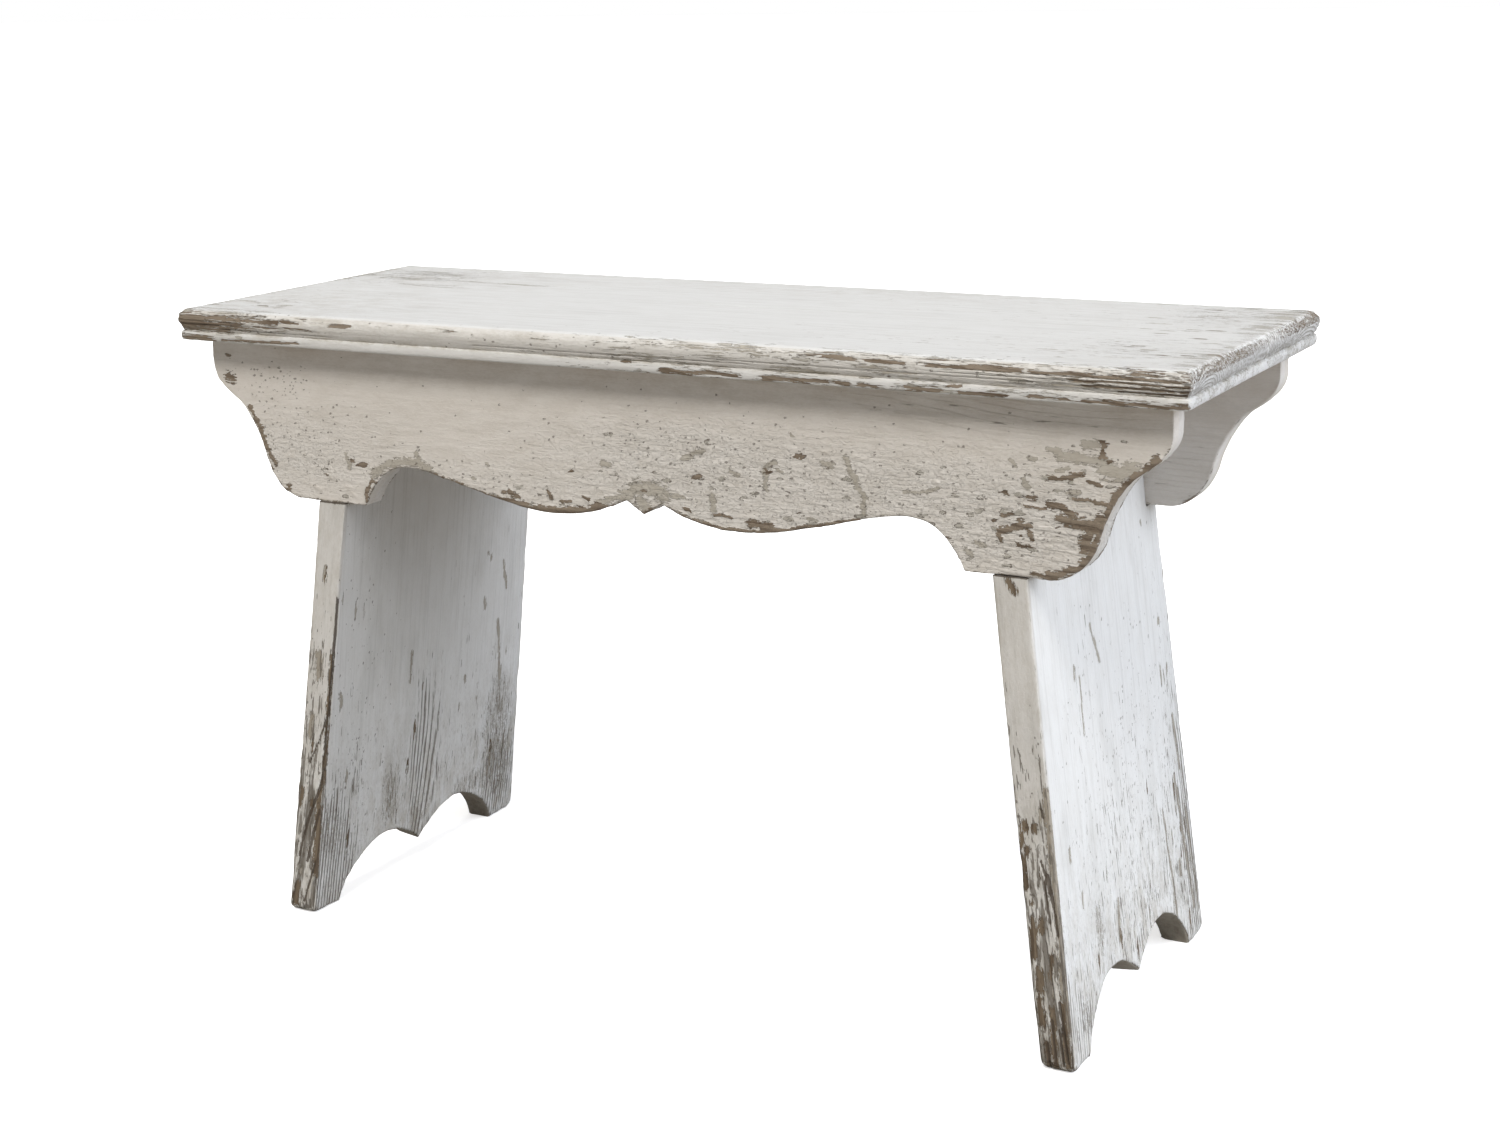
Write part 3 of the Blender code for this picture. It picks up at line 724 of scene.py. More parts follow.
def leg_board(name, node, side, seed, marks, material):
    """A leaning board with two arches at its foot. Its layout runs across it and up it."""
    deep = LEG_RELIEF
    layout, rim_numbers = leg_layout()
    skin, rim = solid_board(layout, rim_numbers, LEG_RUN, LEG_ROW_SKIP)
    flat = np.concatenate(skin.points)

    def radius(foot, depth):
        places = np.column_stack([foot, depth])
        swell = cloud(places, (0.02, 0.05, 0.05), seed + 1, 3)
        worn = smooth_step(0.10 - foot[:, 1], 0, 0.10)
        tread = smooth_step(0.004 - foot[:, 1], 0, 0.004)
        reach = deep["round"] + deep["round_worn"] * worn + deep["round_tread"] * tread
        return reach * (1 + 0.6 * swell)

    shaped, edge = eased(flat, rim, LEG_RUN, radius)
    across, up, depth = flat.T
    u, v, w = across / MM, up / MM, depth / MM

    def washed(kind):
        return washes(u, v, marks[kind])

    outer = depth < TOUCH
    everywhere = np.column_stack([across, up, depth])
    ring = growth_rings(up, across, depth, LEG_PITH, LEG_RING, seed + 4)
    warp_places = np.column_stack([u, v, 0 * u])
    warp_u = 0.9 * cloud(warp_places, (4, 12, 4), seed + 2, 3)
    warp_v = 1.6 * cloud(warp_places, (4, 9, 4), seed + 3, 3)

    foot_wear = smooth_step(0.19 - up, 0, 0.19)
    wear_noise = cloud(everywhere, (0.008, 0.03, 0.02), seed + 5, 3)
    strength = 0.02 + 0.3 * foot_wear + washed("arris")
    arris = strength + deep["swing"] * wear_noise - edge / deep["arris_reach"]
    wall = (depth > TOUCH) & (depth < LEG_RUN - TOUCH)
    arch = wall & (np.abs(across) < FOOT_INNER + 0.002) & (up < 0.06)
    slits = flecks(u + warp_u, v + warp_v, (3.2, 17), (0.8, 7.0), 0.6, seed + 6) * ~arch
    fine_slits = flecks(u + warp_u, v + warp_v, (2.4, 8), (0.7, 3.0), 0.5, seed + 7)
    slit_share = np.clip(washed("slits") + marks["low_slits"] * foot_wear, 0, 1)
    undercoat_and_shade = np.maximum(slits, fine_slits * 0.9) * slit_share
    inner_face = depth > LEG_RUN - TOUCH
    face_marks = 0
    for face, kind in ((outer, "outer"), (inner_face, "inner")):
        lines = worn_lines(u + warp_u, v + warp_v, marks[kind])
        face_marks = face_marks + np.where(face, lines, 0)
    undercoat_and_shade = np.maximum(undercoat_and_shade, arris + deep["lead"])
    undercoat_and_shade = np.clip(np.maximum(undercoat_and_shade, face_marks), 0, 1)
    front_edge = (across < -FOOT_INNER) & (wall | (edge < 0.0035)) & (up > 0.002)
    edge_marks, rubbed, cracks = (
        np.where(front_edge, worn_lines(w, v, marks[kind]), 0)
        for kind in ("front_edge", "rubbed", "cracks"))
    patches = washed("patches") * (inner_face if marks["patches_inside"] else outer)
    undercoat_and_shade = np.clip(np.maximum(undercoat_and_shade, patches), 0, 1)
    # The arch undersides get most of the undercoat colour: painted shade for the shade under the
    # arches
    undercoat_and_shade = np.clip(np.maximum(undercoat_and_shade, np.maximum(rubbed, 0.8 * arch)), 0, 1)
    bare = np.clip(np.maximum(np.maximum(arris, edge_marks), 0.62 * slits * foot_wear ** 2), 0, 1)
    rough = np.clip(0.15 + 0.8 * foot_wear + washed("rough"), 0, 1)
    rough = rough * np.where(arch, 0.2, 1)
    pits = np.clip(washed("pits"), 0, 1)

    bow = deep["bow"] * cloud(everywhere, (0.06, 0.2, 0.2), seed + 10, 2)
    late = 1 - np.abs((ring % 1) * 2 - 1)
    ridges = cloud(np.column_stack([u, v, w]), (4.5, 60, 4.5), seed + 11, 2)
    relief = bow - deep["grain"] * rough * (1 - late) - deep["rough"] * rough * (1 + ridges)
    relief -= (deep["undercoat_and_shade"] * smooth_step(undercoat_and_shade, 0.4, 0.65)
               + deep["bare"] * smooth_step(bare, *LOSS_RIM))
    relief -= deep["slits"] * smooth_step(slits * slit_share, 0.2, 0.9)
    relief -= deep["cracks"] * smooth_step(cracks, 0.2, 0.9)
    # Painted shadow: a dark line along the tops of the leg's wings, under the apron's lower edge. It
    # joins the cracks after the relief is cut, so it darkens only the colour, the shading bump and
    # the dirt
    shoulder_shadow_line = smooth_step(up, LEG_SHOULDER - 0.0016, LEG_SHOULDER - 0.0006)
    shoulder_shadow_line = shoulder_shadow_line * (np.abs(across) > LEG_NOTCH)
    cracks = np.maximum(cracks, shoulder_shadow_line)
    nicks = cloud(everywhere, (0.006, 0.012, 0.006), seed + 12, 2)
    near_edge = smooth_step(deep["nick_reach"] - edge, 0, deep["nick_reach"])
    relief -= deep["nicks"] * near_edge * smooth_step(nicks, 0.1, 1.0)

    dirt_and_shade = 0.15 + 0.3 * foot_wear + 0.3 * smooth_step(0.004 - edge, 0, 0.004)
    dirt_and_shade = (dirt_and_shade + washed("dirt_and_shade") + 0.6 * smooth_step(cracks, 0.3, 0.8)
            + 0.2 * front_edge)
    out = LEG_RUN / 2 - shaped[:, 2]
    arched = smooth_step(FOOT_INNER - np.abs(across), 0, 0.03) * smooth_step(0.09 - up, 0, 0.05)
    shaped[:, 1] += out * LEG_SLOPE * arched
    placed_x = side * (LEG_FLOOR_SPREAD / 2 - LEG_SLOPE * shaped[:, 1] + out)
    placed = np.column_stack([placed_x, shaped[:, 0], shaped[:, 1]])
    fields = {
        "board_place": np.column_stack([up + seed * BOARD_APART, across, depth]),
        "ring": ring, "bare": bare, "undercoat_and_shade": undercoat_and_shade, "rough": rough, "pits": pits,
        "dirt_and_shade": np.clip(dirt_and_shade, 0, 1), "raw": np.zeros(len(u)), "split_and_shadow_line": cracks,
        # The front edges get the full warm tint, painted warm light on the faces that look forward;
        # the inner face gets a quarter of it
        "warm_light_and_tone": 1.0 * front_edge + 0.25 * inner_face,
        "chips": np.clip(
            washed("chipped") + 0.3 * front_edge * foot_wear, 0, 1) * ~arch,
        "slivers": np.clip(
            0.05 + marks["low_slivers"] * foot_wear
            + 0.72 * front_edge * smooth_step(0.27 - up, 0, 0.08)
            + washed("slivers"), 0, 1) * ~arch,
        "grooved": np.clip(
            marks["low_grooves"] * foot_wear + 0.5 * front_edge * smooth_step(0.15 - up, 0, 0.08)
            + washed("grooved"), 0, 1) * ~arch,
    }
    return finish_piece(name, skin, placed, fields, relief, (node,), material)


# The seat

def seat_profile():
    """The moulding as inset from the outer face against depth below the top, in fine steps."""
    profile = []
    for step in range(16):
        turn = math.pi / 2 * step / 15
        profile.append((NOSE_RUN * (1 - math.sin(turn)), NOSE_DROP * (1 - math.cos(turn))))
    for step in range(1, 17):
        part = step / 16
        profile.append((QUIRK_DEPTH * part ** 2, NOSE_DROP + (QUIRK_DROP - NOSE_DROP) * part))
    for step in range(1, 13):
        turn = math.pi * step / 12
        inset = BEAD_INSET + BEAD_BULGE * (1 - math.sin(turn))
        bead = (SEAT_THICKNESS - QUIRK_DROP) / 2 * (1 - math.cos(turn))
        profile.append((inset, QUIRK_DROP + bead))
    return np.array(profile)


def rounded_corner(x, q, reach_x, reach_q):
    """Turn the square corners of a plank's outline round."""
    a = np.clip((np.abs(x) - (reach_x - SEAT_CORNER)) / SEAT_CORNER, 0, 1)
    b = np.clip((q - (reach_q - SEAT_CORNER)) / SEAT_CORNER, 0, 1)
    inside = (a > 0) & (b > 0)
    new_x = np.sign(x) * (reach_x - SEAT_CORNER + SEAT_CORNER * a * np.sqrt(1 - b * b / 2))
    new_q = reach_q - SEAT_CORNER + SEAT_CORNER * b * np.sqrt(1 - a * a / 2)
    return np.where(inside, new_x, x), np.where(inside, new_q, q)


def plank_skin(reach_x, reach):
    """A plank's closed skin: its top, its moulding round three sides, its underside and joint."""
    profile = seat_profile()
    columns = graded(-(reach_x - NOSE_RUN), reach_x - NOSE_RUN, END_STEP, END_STEP, SEAT_STEP_ALONG)
    rows = graded(0, reach - NOSE_RUN, 0, END_STEP, SEAT_STEP_ACROSS)
    last_column, last_row = len(columns) - 1, len(rows) - 1
    skin = Skin()
    grid_x = np.repeat(columns[:, None], len(rows), 1)
    grid_q = np.repeat(rows[None], len(columns), 0)
    top_x, top_q = rounded_corner(grid_x, grid_q, reach_x - NOSE_RUN, reach - NOSE_RUN)
    top = skin.add(np.stack([top_x, top_q, 0 * top_x], axis=2))
    skin.sheet(top)
    loop = [(0, j) for j in range(last_row + 1)]
    loop += [(i, last_row) for i in range(1, last_column + 1)]
    loop += [(last_column, j) for j in range(last_row - 1, -1, -1)]
    at_column, at_row = np.array(loop).T
    loop_x, loop_q = grid_x[at_column, at_row], grid_q[at_column, at_row]
    levels = []
    for inset, depth in profile[1:]:
        out = NOSE_RUN - inset
        x = loop_x + np.where(at_column == 0, -out, 0) + np.where(at_column == last_column, out, 0)
        q = loop_q + np.where(at_row == last_row, out, 0)
        x, q = rounded_corner(x, q, reach_x - inset, reach - inset)
        levels.append(np.stack([x, q, np.full(len(x), depth)], axis=1))
    wall = np.concatenate(
        [top[at_column, at_row][:, None], skin.add(np.stack(levels, axis=1))], axis=1)
    skin.sheet(wall)
    keep = np.zeros(len(rows), bool)
    keep[::INNER_ROW_SKIP] = True
    keep[[0, last_row]] = True
    under = np.full(top.shape, -1)
    inner = np.zeros(top.shape, bool)
    inner[1:-1, 1:-1] = True
    inner[1:-1, 0] = True
    inner &= keep[None, :]
    under[inner] = skin.add(np.stack(
        [grid_x[inner], grid_q[inner], np.full(inner.sum(), SEAT_THICKNESS)], axis=1))
    wall_foot = wall[:, -1]
    lip = np.full(top.shape, -1)
    lip[at_column, at_row] = wall_foot
    sides = (at_column > 0) & (at_column < last_column)
    under[at_column[sides], at_row[sides]] = wall_foot[sides]
    skin.sheet(under[1:-1, keep])
    for end, beside in ((0, 1), (last_column, last_column - 1)):
        skin.zip(lip[end].tolist(), np.where(keep, under[beside], -1).tolist())
    joint = list(top[:, 0]) + list(wall[-1, 1:]) + list(under[1:-1, 0][::-1]) + list(wall[0, :0:-1])
    skin.faces.append(np.array([joint]))
    return skin


def seat_plank(name, node, side, seed, marks, material):
    """One plank of the moulded seat. Its layout runs along it and outwards from the glue joint."""
    deep = SEAT_RELIEF
    reach = SEAT_WIDTH / 2 - side * SEAT_JOINT_Y
    reach_x = SEAT_LENGTH / 2
    skin = plank_skin(reach_x, reach)
    points = np.concatenate(skin.points)
    along, out, depth = points.T
    across = side * out + SEAT_JOINT_Y
    u, v, w = along / MM, across / MM, depth / MM

    def washed(kind):
        return washes(u, v, marks[kind])

    placed = np.column_stack([along, across, SEAT_TOP - depth])
    everywhere = np.column_stack([along, across, depth])
    ring = growth_rings(along, across, depth, marks["pith"], marks["pitch"], seed + 4)
    warp_places = np.column_stack([u, v, w])
    warp_u = 2.2 * cloud(warp_places, (12, 4, 4), seed + 2, 3)
    warp_v = 0.9 * cloud(warp_places, (9, 3, 3), seed + 3, 3)
    end_gap = reach_x - np.abs(along)
    side_gap = reach - out
    edge = np.minimum(end_gap, side_gap)
    on_top = depth < TOP_BAND
    beneath = depth > SEAT_THICKNESS - 1e-5
    nose = (depth >= TOP_BAND) & (depth < QUIRK_DROP)
    bead = (depth >= QUIRK_DROP) & ~beneath

    top_arris = np.abs(np.hypot(edge - ARRIS_INSET, depth - ARRIS_DROP) - ARRIS_BAND)
    wear_noise = cloud(everywhere, (0.02, 0.006, 0.006), seed + 5, 3)
    strength = washed("arris")
    arris = 0.08 + strength + deep["swing"] * wear_noise - top_arris / deep["arris_reach"]
    outer_side = side_gap < NOSE_RUN + TOUCH
    warped_w = w + warp_v * 0.35
    worn_nose, worn_bead = (
        np.where(face & outer_side, worn_lines(u + warp_u, warped_w, marks[kind]), 0)
        for face, kind in ((nose, "nose"), (bead, "bead")))
    bare = np.maximum(worn_nose, worn_bead)
    nose_wash = washes(u, w, marks["nose_worn"]) * outer_side * ~on_top
    bare = np.maximum(bare, nose_wash)
    bare = np.maximum(bare, washed("top_worn") * (depth < NOSE_DROP))
    bare = np.maximum(bare, arris)
    primed_noise = cloud(everywhere, (0.03, 0.004, 0.004), seed + 6, 3)
    undercoat_and_shade = 0.1 + washed("undercoat_and_shade") * (0.6 + primed_noise)
    end_face = (end_gap < NOSE_RUN + TOUCH) & nose
    # The end face keeps only four tenths of the undercoat, and the rough share below rises there,
    # lightening it through the chalk colour: painted light against the shade of the cove. That rough
    # share also gives the end grain its relief
    undercoat_and_shade = np.where(end_face & ~outer_side, 0.4 * undercoat_and_shade, undercoat_and_shade)
    undercoat_and_shade = np.maximum(undercoat_and_shade, arris + deep["lead"])
    rough = 0.12 + washed("rough") + 0.4 * nose + 0.15 * bead + 0.6 * end_face
    rough = np.clip(rough, 0, 1)
    pits = np.clip(washed("pits") * (depth < QUIRK_DROP), 0, 1)

    bow = deep["bow"] * cloud(everywhere, (0.2, 0.09, 0.2), seed + 10, 2)
    late = 1 - np.abs((ring % 1) * 2 - 1)
    ridges = cloud(np.column_stack([u, v, w]), (40, 1.6, 1.6), seed + 11, 2)
    relief = bow - deep["grain"] * rough * (1 - late) - deep["rough"] * rough * (1 + ridges)
    nose_grooves = np.where(nose & outer_side, worn_lines(u, w + warp_v * 0.2, marks["grooves"]), 0)
    relief -= deep["grooves"] * smooth_step(nose_grooves, 0.25, 0.9)
    relief -= deep["end_grain"] * end_face * (1 - late)
    relief -= (deep["bare"] * smooth_step(bare, *LOSS_RIM) * ~beneath
               + deep["undercoat_and_shade"] * smooth_step(undercoat_and_shade, *LOSS_RIM))
    nicks = cloud(everywhere, (0.008, 0.006, 0.006), seed + 12, 2)
    near_arris = smooth_step(deep["nick_reach"] - top_arris, 0, deep["nick_reach"])
    relief -= deep["nicks"] * near_arris * smooth_step(nicks, 0.2, 1.0)
    relief = np.where((out < TOUCH) & (beneath | (depth > TOUCH)), 0, relief)

    lap = PAINT_LAP + PAINT_LAP_SWING * cloud(everywhere, (0.03, 0.03, 0.03), seed + 13, 3)
    unpainted = beneath * smooth_step(edge, lap - PAINT_LAP_RIM, lap + PAINT_LAP_RIM)
    bare = np.clip(np.maximum(bare * ~beneath, unpainted), 0, 1)
    # Dirt, and painted shade: a dark band along the quirk under the nose; the outer nose is also made
    # a little darker
    dirt_and_shade = 0.1 + 0.35 * smooth_step(nose_grooves, 0.2, 0.8) + washed("dirt_and_shade")
    quirk_shade = np.exp(-((depth - QUIRK_DROP) / QUIRK_SHADE_REACH) ** 2)
    dirt_and_shade = dirt_and_shade + 0.12 * nose * outer_side + 0.8 * quirk_shade + 0.25 * near_arris
    fields = {
        "board_place": np.column_stack([along + seed * BOARD_APART, across, depth]),
        "ring": ring, "bare": bare, "undercoat_and_shade": np.clip(undercoat_and_shade, 0, 1) * ~beneath, "rough": rough,
        "pits": pits, "dirt_and_shade": np.clip(dirt_and_shade, 0, 1), "raw": beneath.astype(float),
        "slivers": np.clip(
            washed("slivers") * ~(nose & outer_side)
            + 0.30 * (nose & outer_side) * smooth_step(np.abs(along), 0.10, 0.34), 0, 1) * ~beneath,
        "grooved": np.clip(
            end_face + 0.2 * nose * outer_side * smooth_step(along, 0.05, 0.3)
            + washed("grooved"), 0, 1) * ~beneath,
        "split_and_shadow_line": 0.60 * nose_grooves * smooth_step(np.abs(along), 0.20, 0.30),
        # The nose and bead get the warm tint: partly an ivory tone, partly painted shade that dims
        # the brightly lit nose
        "warm_light_and_tone": (1.0 * nose + 0.3 * bead) * outer_side,
        "chips": np.clip(washed("chipped"), 0, 1) * ~beneath,
    }
    return finish_piece(name, skin, placed, fields, relief, (node,), material)


# The cleats under the seat

CLEAT_WIDTH = 0.030
CLEAT_HEIGHT = 0.028
CLEAT_HALF_LENGTH = 0.097
CLEAT_GAP = 0.0003
CLEAT_ARRIS = 0.0006
CLEAT_SQUARE = 0.0010
CLEAT_CHAMFER = 0.0026
CLEAT_END_EASE = 0.0009
CLEAT_END_SHARE = 0.05
CLEAT_RELIEF = {"saw": 0.00008, "fuzz": 0.00006, "sunk": 0.0001}

# A countersunk screw hole as radius against depth, from just above the face inwards
COUNTERSINK = [(0.0054, -0.001), (0.0046, 0.0), (0.0023, 0.0031), (0.0023, 0.036)]
HOLE_SIDES = 40


def cleat_batten(name, node, side, seed, material):
    """A sawn batten with a chamfered edge, drawn as one closed ring after another along it."""
    inner = LEG_FLOOR_SPREAD / 2 - LEG_SLOPE * APRON_TOP - LEG_RUN / 2 - CLEAT_GAP - CLEAT_WIDTH
    lean = CLEAT_HEIGHT * LEG_SLOPE
    corners = [
        ((0, 0), CLEAT_ARRIS), ((CLEAT_WIDTH, 0), CLEAT_ARRIS),
        ((CLEAT_WIDTH + lean, -CLEAT_HEIGHT), CLEAT_SQUARE), ((0, -CLEAT_HEIGHT), CLEAT_CHAMFER)]
    ring = []
    for index, (corner, radius) in enumerate(corners):
        before = np.array(corners[index - 1][0]) - corner
        after = np.array(corners[(index + 1) % len(corners)][0]) - corner
        before = before / np.hypot(*before)
        after = after / np.hypot(*after)
        for share in np.linspace(0, 1, 4):
            ring.append(corner + radius * (before * (1 - share) ** 1.5 + after * share ** 1.5))
        run = np.array(corners[(index + 1) % len(corners)][0]) - corner
        for share in np.linspace(0.08, 0.92, 11):
            ring.append(corner + run * share)
    ring = np.array(ring)
    stations = graded(-CLEAT_HALF_LENGTH, CLEAT_HALF_LENGTH, END_STEP, END_STEP, CLEAT_STEP)
    middle = ring.mean(axis=0)
    skin = Skin()
    places = np.empty((len(stations), len(ring), 3))
    for index, station in enumerate(stations):
        gap = CLEAT_HALF_LENGTH - abs(station)
        pull = max(0, 1 - gap / CLEAT_END_EASE) ** 2
        pulled = ring + (middle - ring) * CLEAT_END_SHARE * pull
        places[index, :, 0] = pulled[:, 0]
        places[index, :, 1] = station
        places[index, :, 2] = pulled[:, 1]
    numbers = skin.add(places)
    skin.sheet(np.concatenate([numbers, numbers[:, :1]], axis=1))
    skin.faces.append(numbers[:1])
    skin.faces.append(numbers[-1:, ::-1])
    points = np.concatenate(skin.points)
    across, along, up = points.T
    saw = cloud(points, (0.02, 0.0016, 0.02), seed, 2)
    fuzz = cloud(points, (0.003, 0.03, 0.003), seed + 1, 2)
    relief = CLEAT_RELIEF["saw"] * saw + CLEAT_RELIEF["fuzz"] * fuzz - CLEAT_RELIEF["sunk"]
    placed = np.column_stack([side * (inner + across), along, APRON_TOP + up])
    fields = {
        "board_place": np.column_stack([along + seed, across, up]),
        "ring": growth_rings(along, across, up, CLEAT_PITH, CLEAT_RING, seed + 2),
        "dirt_and_shade": np.clip(0.2 + 0.3 * saw, 0, 1),
    }
    return finish_piece(name, skin, placed, fields, relief, (node,), material)


def bore(piece, node_names):
    """Cut the countersunk holes of the screws that pass through a piece."""
    for node_name in node_names:
        low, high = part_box(node_name)
        size = high - low
        axis = max(range(3), key=lambda index: size[index])
        direction = 1 if axis == 2 else (1 if low.x > 0 else -1)
        start = (low + high) / 2
        start[axis] = low[axis] if direction > 0 else high[axis]
        sides = HOLE_SIDES
        rings = []
        for radius, depth in COUNTERSINK:
            for step in range(sides):
                turn = 2 * math.pi * step / sides
                rings.append([radius * math.cos(turn), radius * math.sin(turn), depth])
        matrix = Vector((0, 0, 1)).rotation_difference(
            Vector([direction if index == axis else 0 for index in range(3)])).to_matrix().to_4x4()
        matrix = Matrix.Translation(start) @ matrix
        faces = [list(range(sides))[::-1]]
        for level in range(len(COUNTERSINK) - 1):
            for step in range(sides):
                a, b = level * sides + step, level * sides + (step + 1) % sides
                faces.append([a, b, b + sides, a + sides])
        faces.append(list(range(len(rings) - sides, len(rings))))
        mesh = bpy.data.meshes.new("countersink")
        mesh.from_pydata(rings, [], faces)
        mesh.transform(matrix)
        cutter = bpy.data.objects.new("countersink", mesh)
        bpy.context.scene.collection.objects.link(cutter)
        modifier = piece.modifiers.new("countersink", "BOOLEAN")
        modifier.operation = "DIFFERENCE"
        modifier.solver = "EXACT"
        modifier.object = cutter
        bpy.context.view_layer.objects.active = piece
        bpy.context.view_layer.update()
        cut_mesh = bpy.data.meshes.new_from_object(
            piece.evaluated_get(bpy.context.evaluated_depsgraph_get()))
        piece.modifiers.clear()
        piece.data = cut_mesh
        bpy.data.objects.remove(cutter)


# Shader helpers

def put(tree, kind, inputs=None, **settings):
    """Add a node, set it up and feed its sockets with values or with other nodes' outputs."""
    node = tree.nodes.new(kind)
    for key, value in settings.items():
        setattr(node, key, value)
    for key, value in (inputs or {}).items():
        if isinstance(value, bpy.types.NodeSocket):
            tree.links.new(value, node.inputs[key])
        else:
            node.inputs[key].default_value = value
    return node


def maths(tree, operation, first, second=0.0, clamp=False):
    """One sum on two values. The three below are the ones used most."""
    node = put(tree, "ShaderNodeMath", {0: first, 1: second}, operation=operation, use_clamp=clamp)
    return node.outputs[0]


def times(tree, first, second):
    return maths(tree, "MULTIPLY", first, second)


def plus(tree, first, second, clamp=False):
    return maths(tree, "ADD", first, second, clamp)


def minus(tree, first, second):
    return maths(tree, "SUBTRACT", first, second)


def mixed(tree, share, first, second, way="MIX"):
    """Mix two colours."""
    node = put(tree, "ShaderNodeMix", data_type="RGBA", blend_type=way)
    for index, value in ((0, share), (6, first), (7, second)):
        if isinstance(value, bpy.types.NodeSocket):
            tree.links.new(value, node.inputs[index])
        elif index == 0:
            node.inputs[index].default_value = value
        else:
            node.inputs[index].default_value = (*value[:3], 1.0)
    return node.outputs[2]


def ramp(tree, value, low, high, to_low=0.0, to_high=1.0):
    """A smooth step from one value to another as a field passes from low to high."""
    node = put(
        tree, "ShaderNodeMapRange",
        {"Value": value, "From Min": low, "From Max": high, "To Min": to_low, "To Max": to_high},
        interpolation_type="SMOOTHSTEP")
    return node.outputs["Result"]


def stretched(tree, place, scale):
    """A place in the board, scaled along the grain, across it and into its depth."""
    return put(tree, "ShaderNodeVectorMath", {0: place, 1: scale}, operation="MULTIPLY").outputs[0]


def noise(tree, place, scale, detail=2.0, roughness=0.5):
    """Noise from 0 to 1. The scale counts its swells in a metre on each axis."""
    node = put(
        tree, "ShaderNodeTexNoise",
        {"Vector": stretched(tree, place, scale), "Scale": 1.0, "Detail": detail,
         "Roughness": roughness})
    return node.outputs["Fac"]


def swell(tree, place, scale, detail=2.0, roughness=0.5, reach=1.0):
    """Noise that goes both ways from nought, mostly within one reach."""
    middle = minus(tree, noise(tree, place, scale, detail, roughness), 0.5)
    return times(tree, middle, 6.0 * reach)


def field(tree, name, output="Fac"):
    """One of the values kept on each point of a board."""
    return put(tree, "ShaderNodeAttribute", attribute_name=name).outputs[output]


PLACE_INPUT = ("Place", "Vector", (0, 0, 0))


def new_group(name, inputs, outputs):
    """A shader node group with its named sockets, and the nodes that stand for them."""
    tree = bpy.data.node_groups.new(name, "ShaderNodeTree")
    for label, kind, value in inputs:
        socket = tree.interface.new_socket(
            name=label, in_out="INPUT", socket_type="NodeSocket" + kind)
        socket.default_value = value
    for label, kind in outputs:
        tree.interface.new_socket(name=label, in_out="OUTPUT", socket_type="NodeSocket" + kind)
    start = tree.nodes.new("NodeGroupInput")
    end = tree.nodes.new("NodeGroupOutput")
    return tree, start.outputs, end.inputs


def place_group(tree, name, inputs):
    """Set one of the shared groups in a material, with this material's own values."""
    return put(tree, "ShaderNodeGroup", inputs, node_tree=GROUPS[name]).outputs


# Effects that several finishes share

def pine_group():
    """Pine with late wood lines along the rings and fine fibres along the grain."""
    tree, given, out = new_group(
        "pine_grain",
        [PLACE_INPUT, ("Ring", "Float", 0.0), ("Early Wood", "Color", (0.5, 0.4, 0.3, 1)),
         ("Late Wood", "Color", (0.2, 0.14, 0.09, 1)), ("Contrast", "Float", 0.7)],
        [("Color", "Color"), ("Ridge", "Float")])
    place = given["Place"]
    count = plus(tree, given["Ring"], swell(tree, place, (30, 420, 420), 2, 0.5, 0.12))
    part = maths(tree, "FRACT", count)
    rise = ramp(tree, part, 0.35, 0.88)
    fall = ramp(tree, part, 0.92, 1.0, 1.0, 0.0)
    late = times(tree, rise, fall)
    fibre = swell(tree, place, (70, 2600, 2600), 3, 0.6)
    mottle = swell(tree, place, (22, 130, 130), 3, 0.55)
    amount = times(tree, late, given["Contrast"])
    amount = plus(tree, amount, times(tree, fibre, 0.22))
    amount = plus(tree, amount, times(tree, mottle, 0.22), clamp=True)
    tree.links.new(mixed(tree, amount, given["Early Wood"], given["Late Wood"]), out["Color"])
    ridge = plus(tree, times(tree, late, 0.8), times(tree, fibre, 0.2))
    tree.links.new(ridge, out["Ridge"])
    return tree


def brushed_group():
    """Brushed paint: streaks along the grain, soft blots and the slight lines left by bristles."""
    tree, given, out = new_group(
        "brushed_paint",
        [PLACE_INPUT, ("Paint", "Color", (0.8, 0.8, 0.8, 1)),
         ("Worn Paint", "Color", (0.6, 0.6, 0.6, 1)), ("Streaks", "Float", 0.5),
         ("Blots", "Float", 0.5)],
        [("Color", "Color"), ("Height", "Float")])
    place = given["Place"]
    streak = swell(tree, place, (9, 330, 330), 4, 0.62)
    fine = swell(tree, place, (40, 1500, 1500), 3, 0.6)
    blot = swell(tree, place, (11, 26, 26), 3, 0.6)
    lines = ramp(tree, streak, -0.1, 1.0)
    soft = ramp(tree, blot, 0.0, 1.2)
    amount = times(tree, lines, given["Streaks"])
    amount = plus(tree, amount, times(tree, soft, given["Blots"]), clamp=True)
    tree.links.new(mixed(tree, amount, given["Paint"], given["Worn Paint"]), out["Color"])
    height = plus(tree, times(tree, streak, 0.5), times(tree, fine, 0.5))
    tree.links.new(height, out["Height"])
    return tree


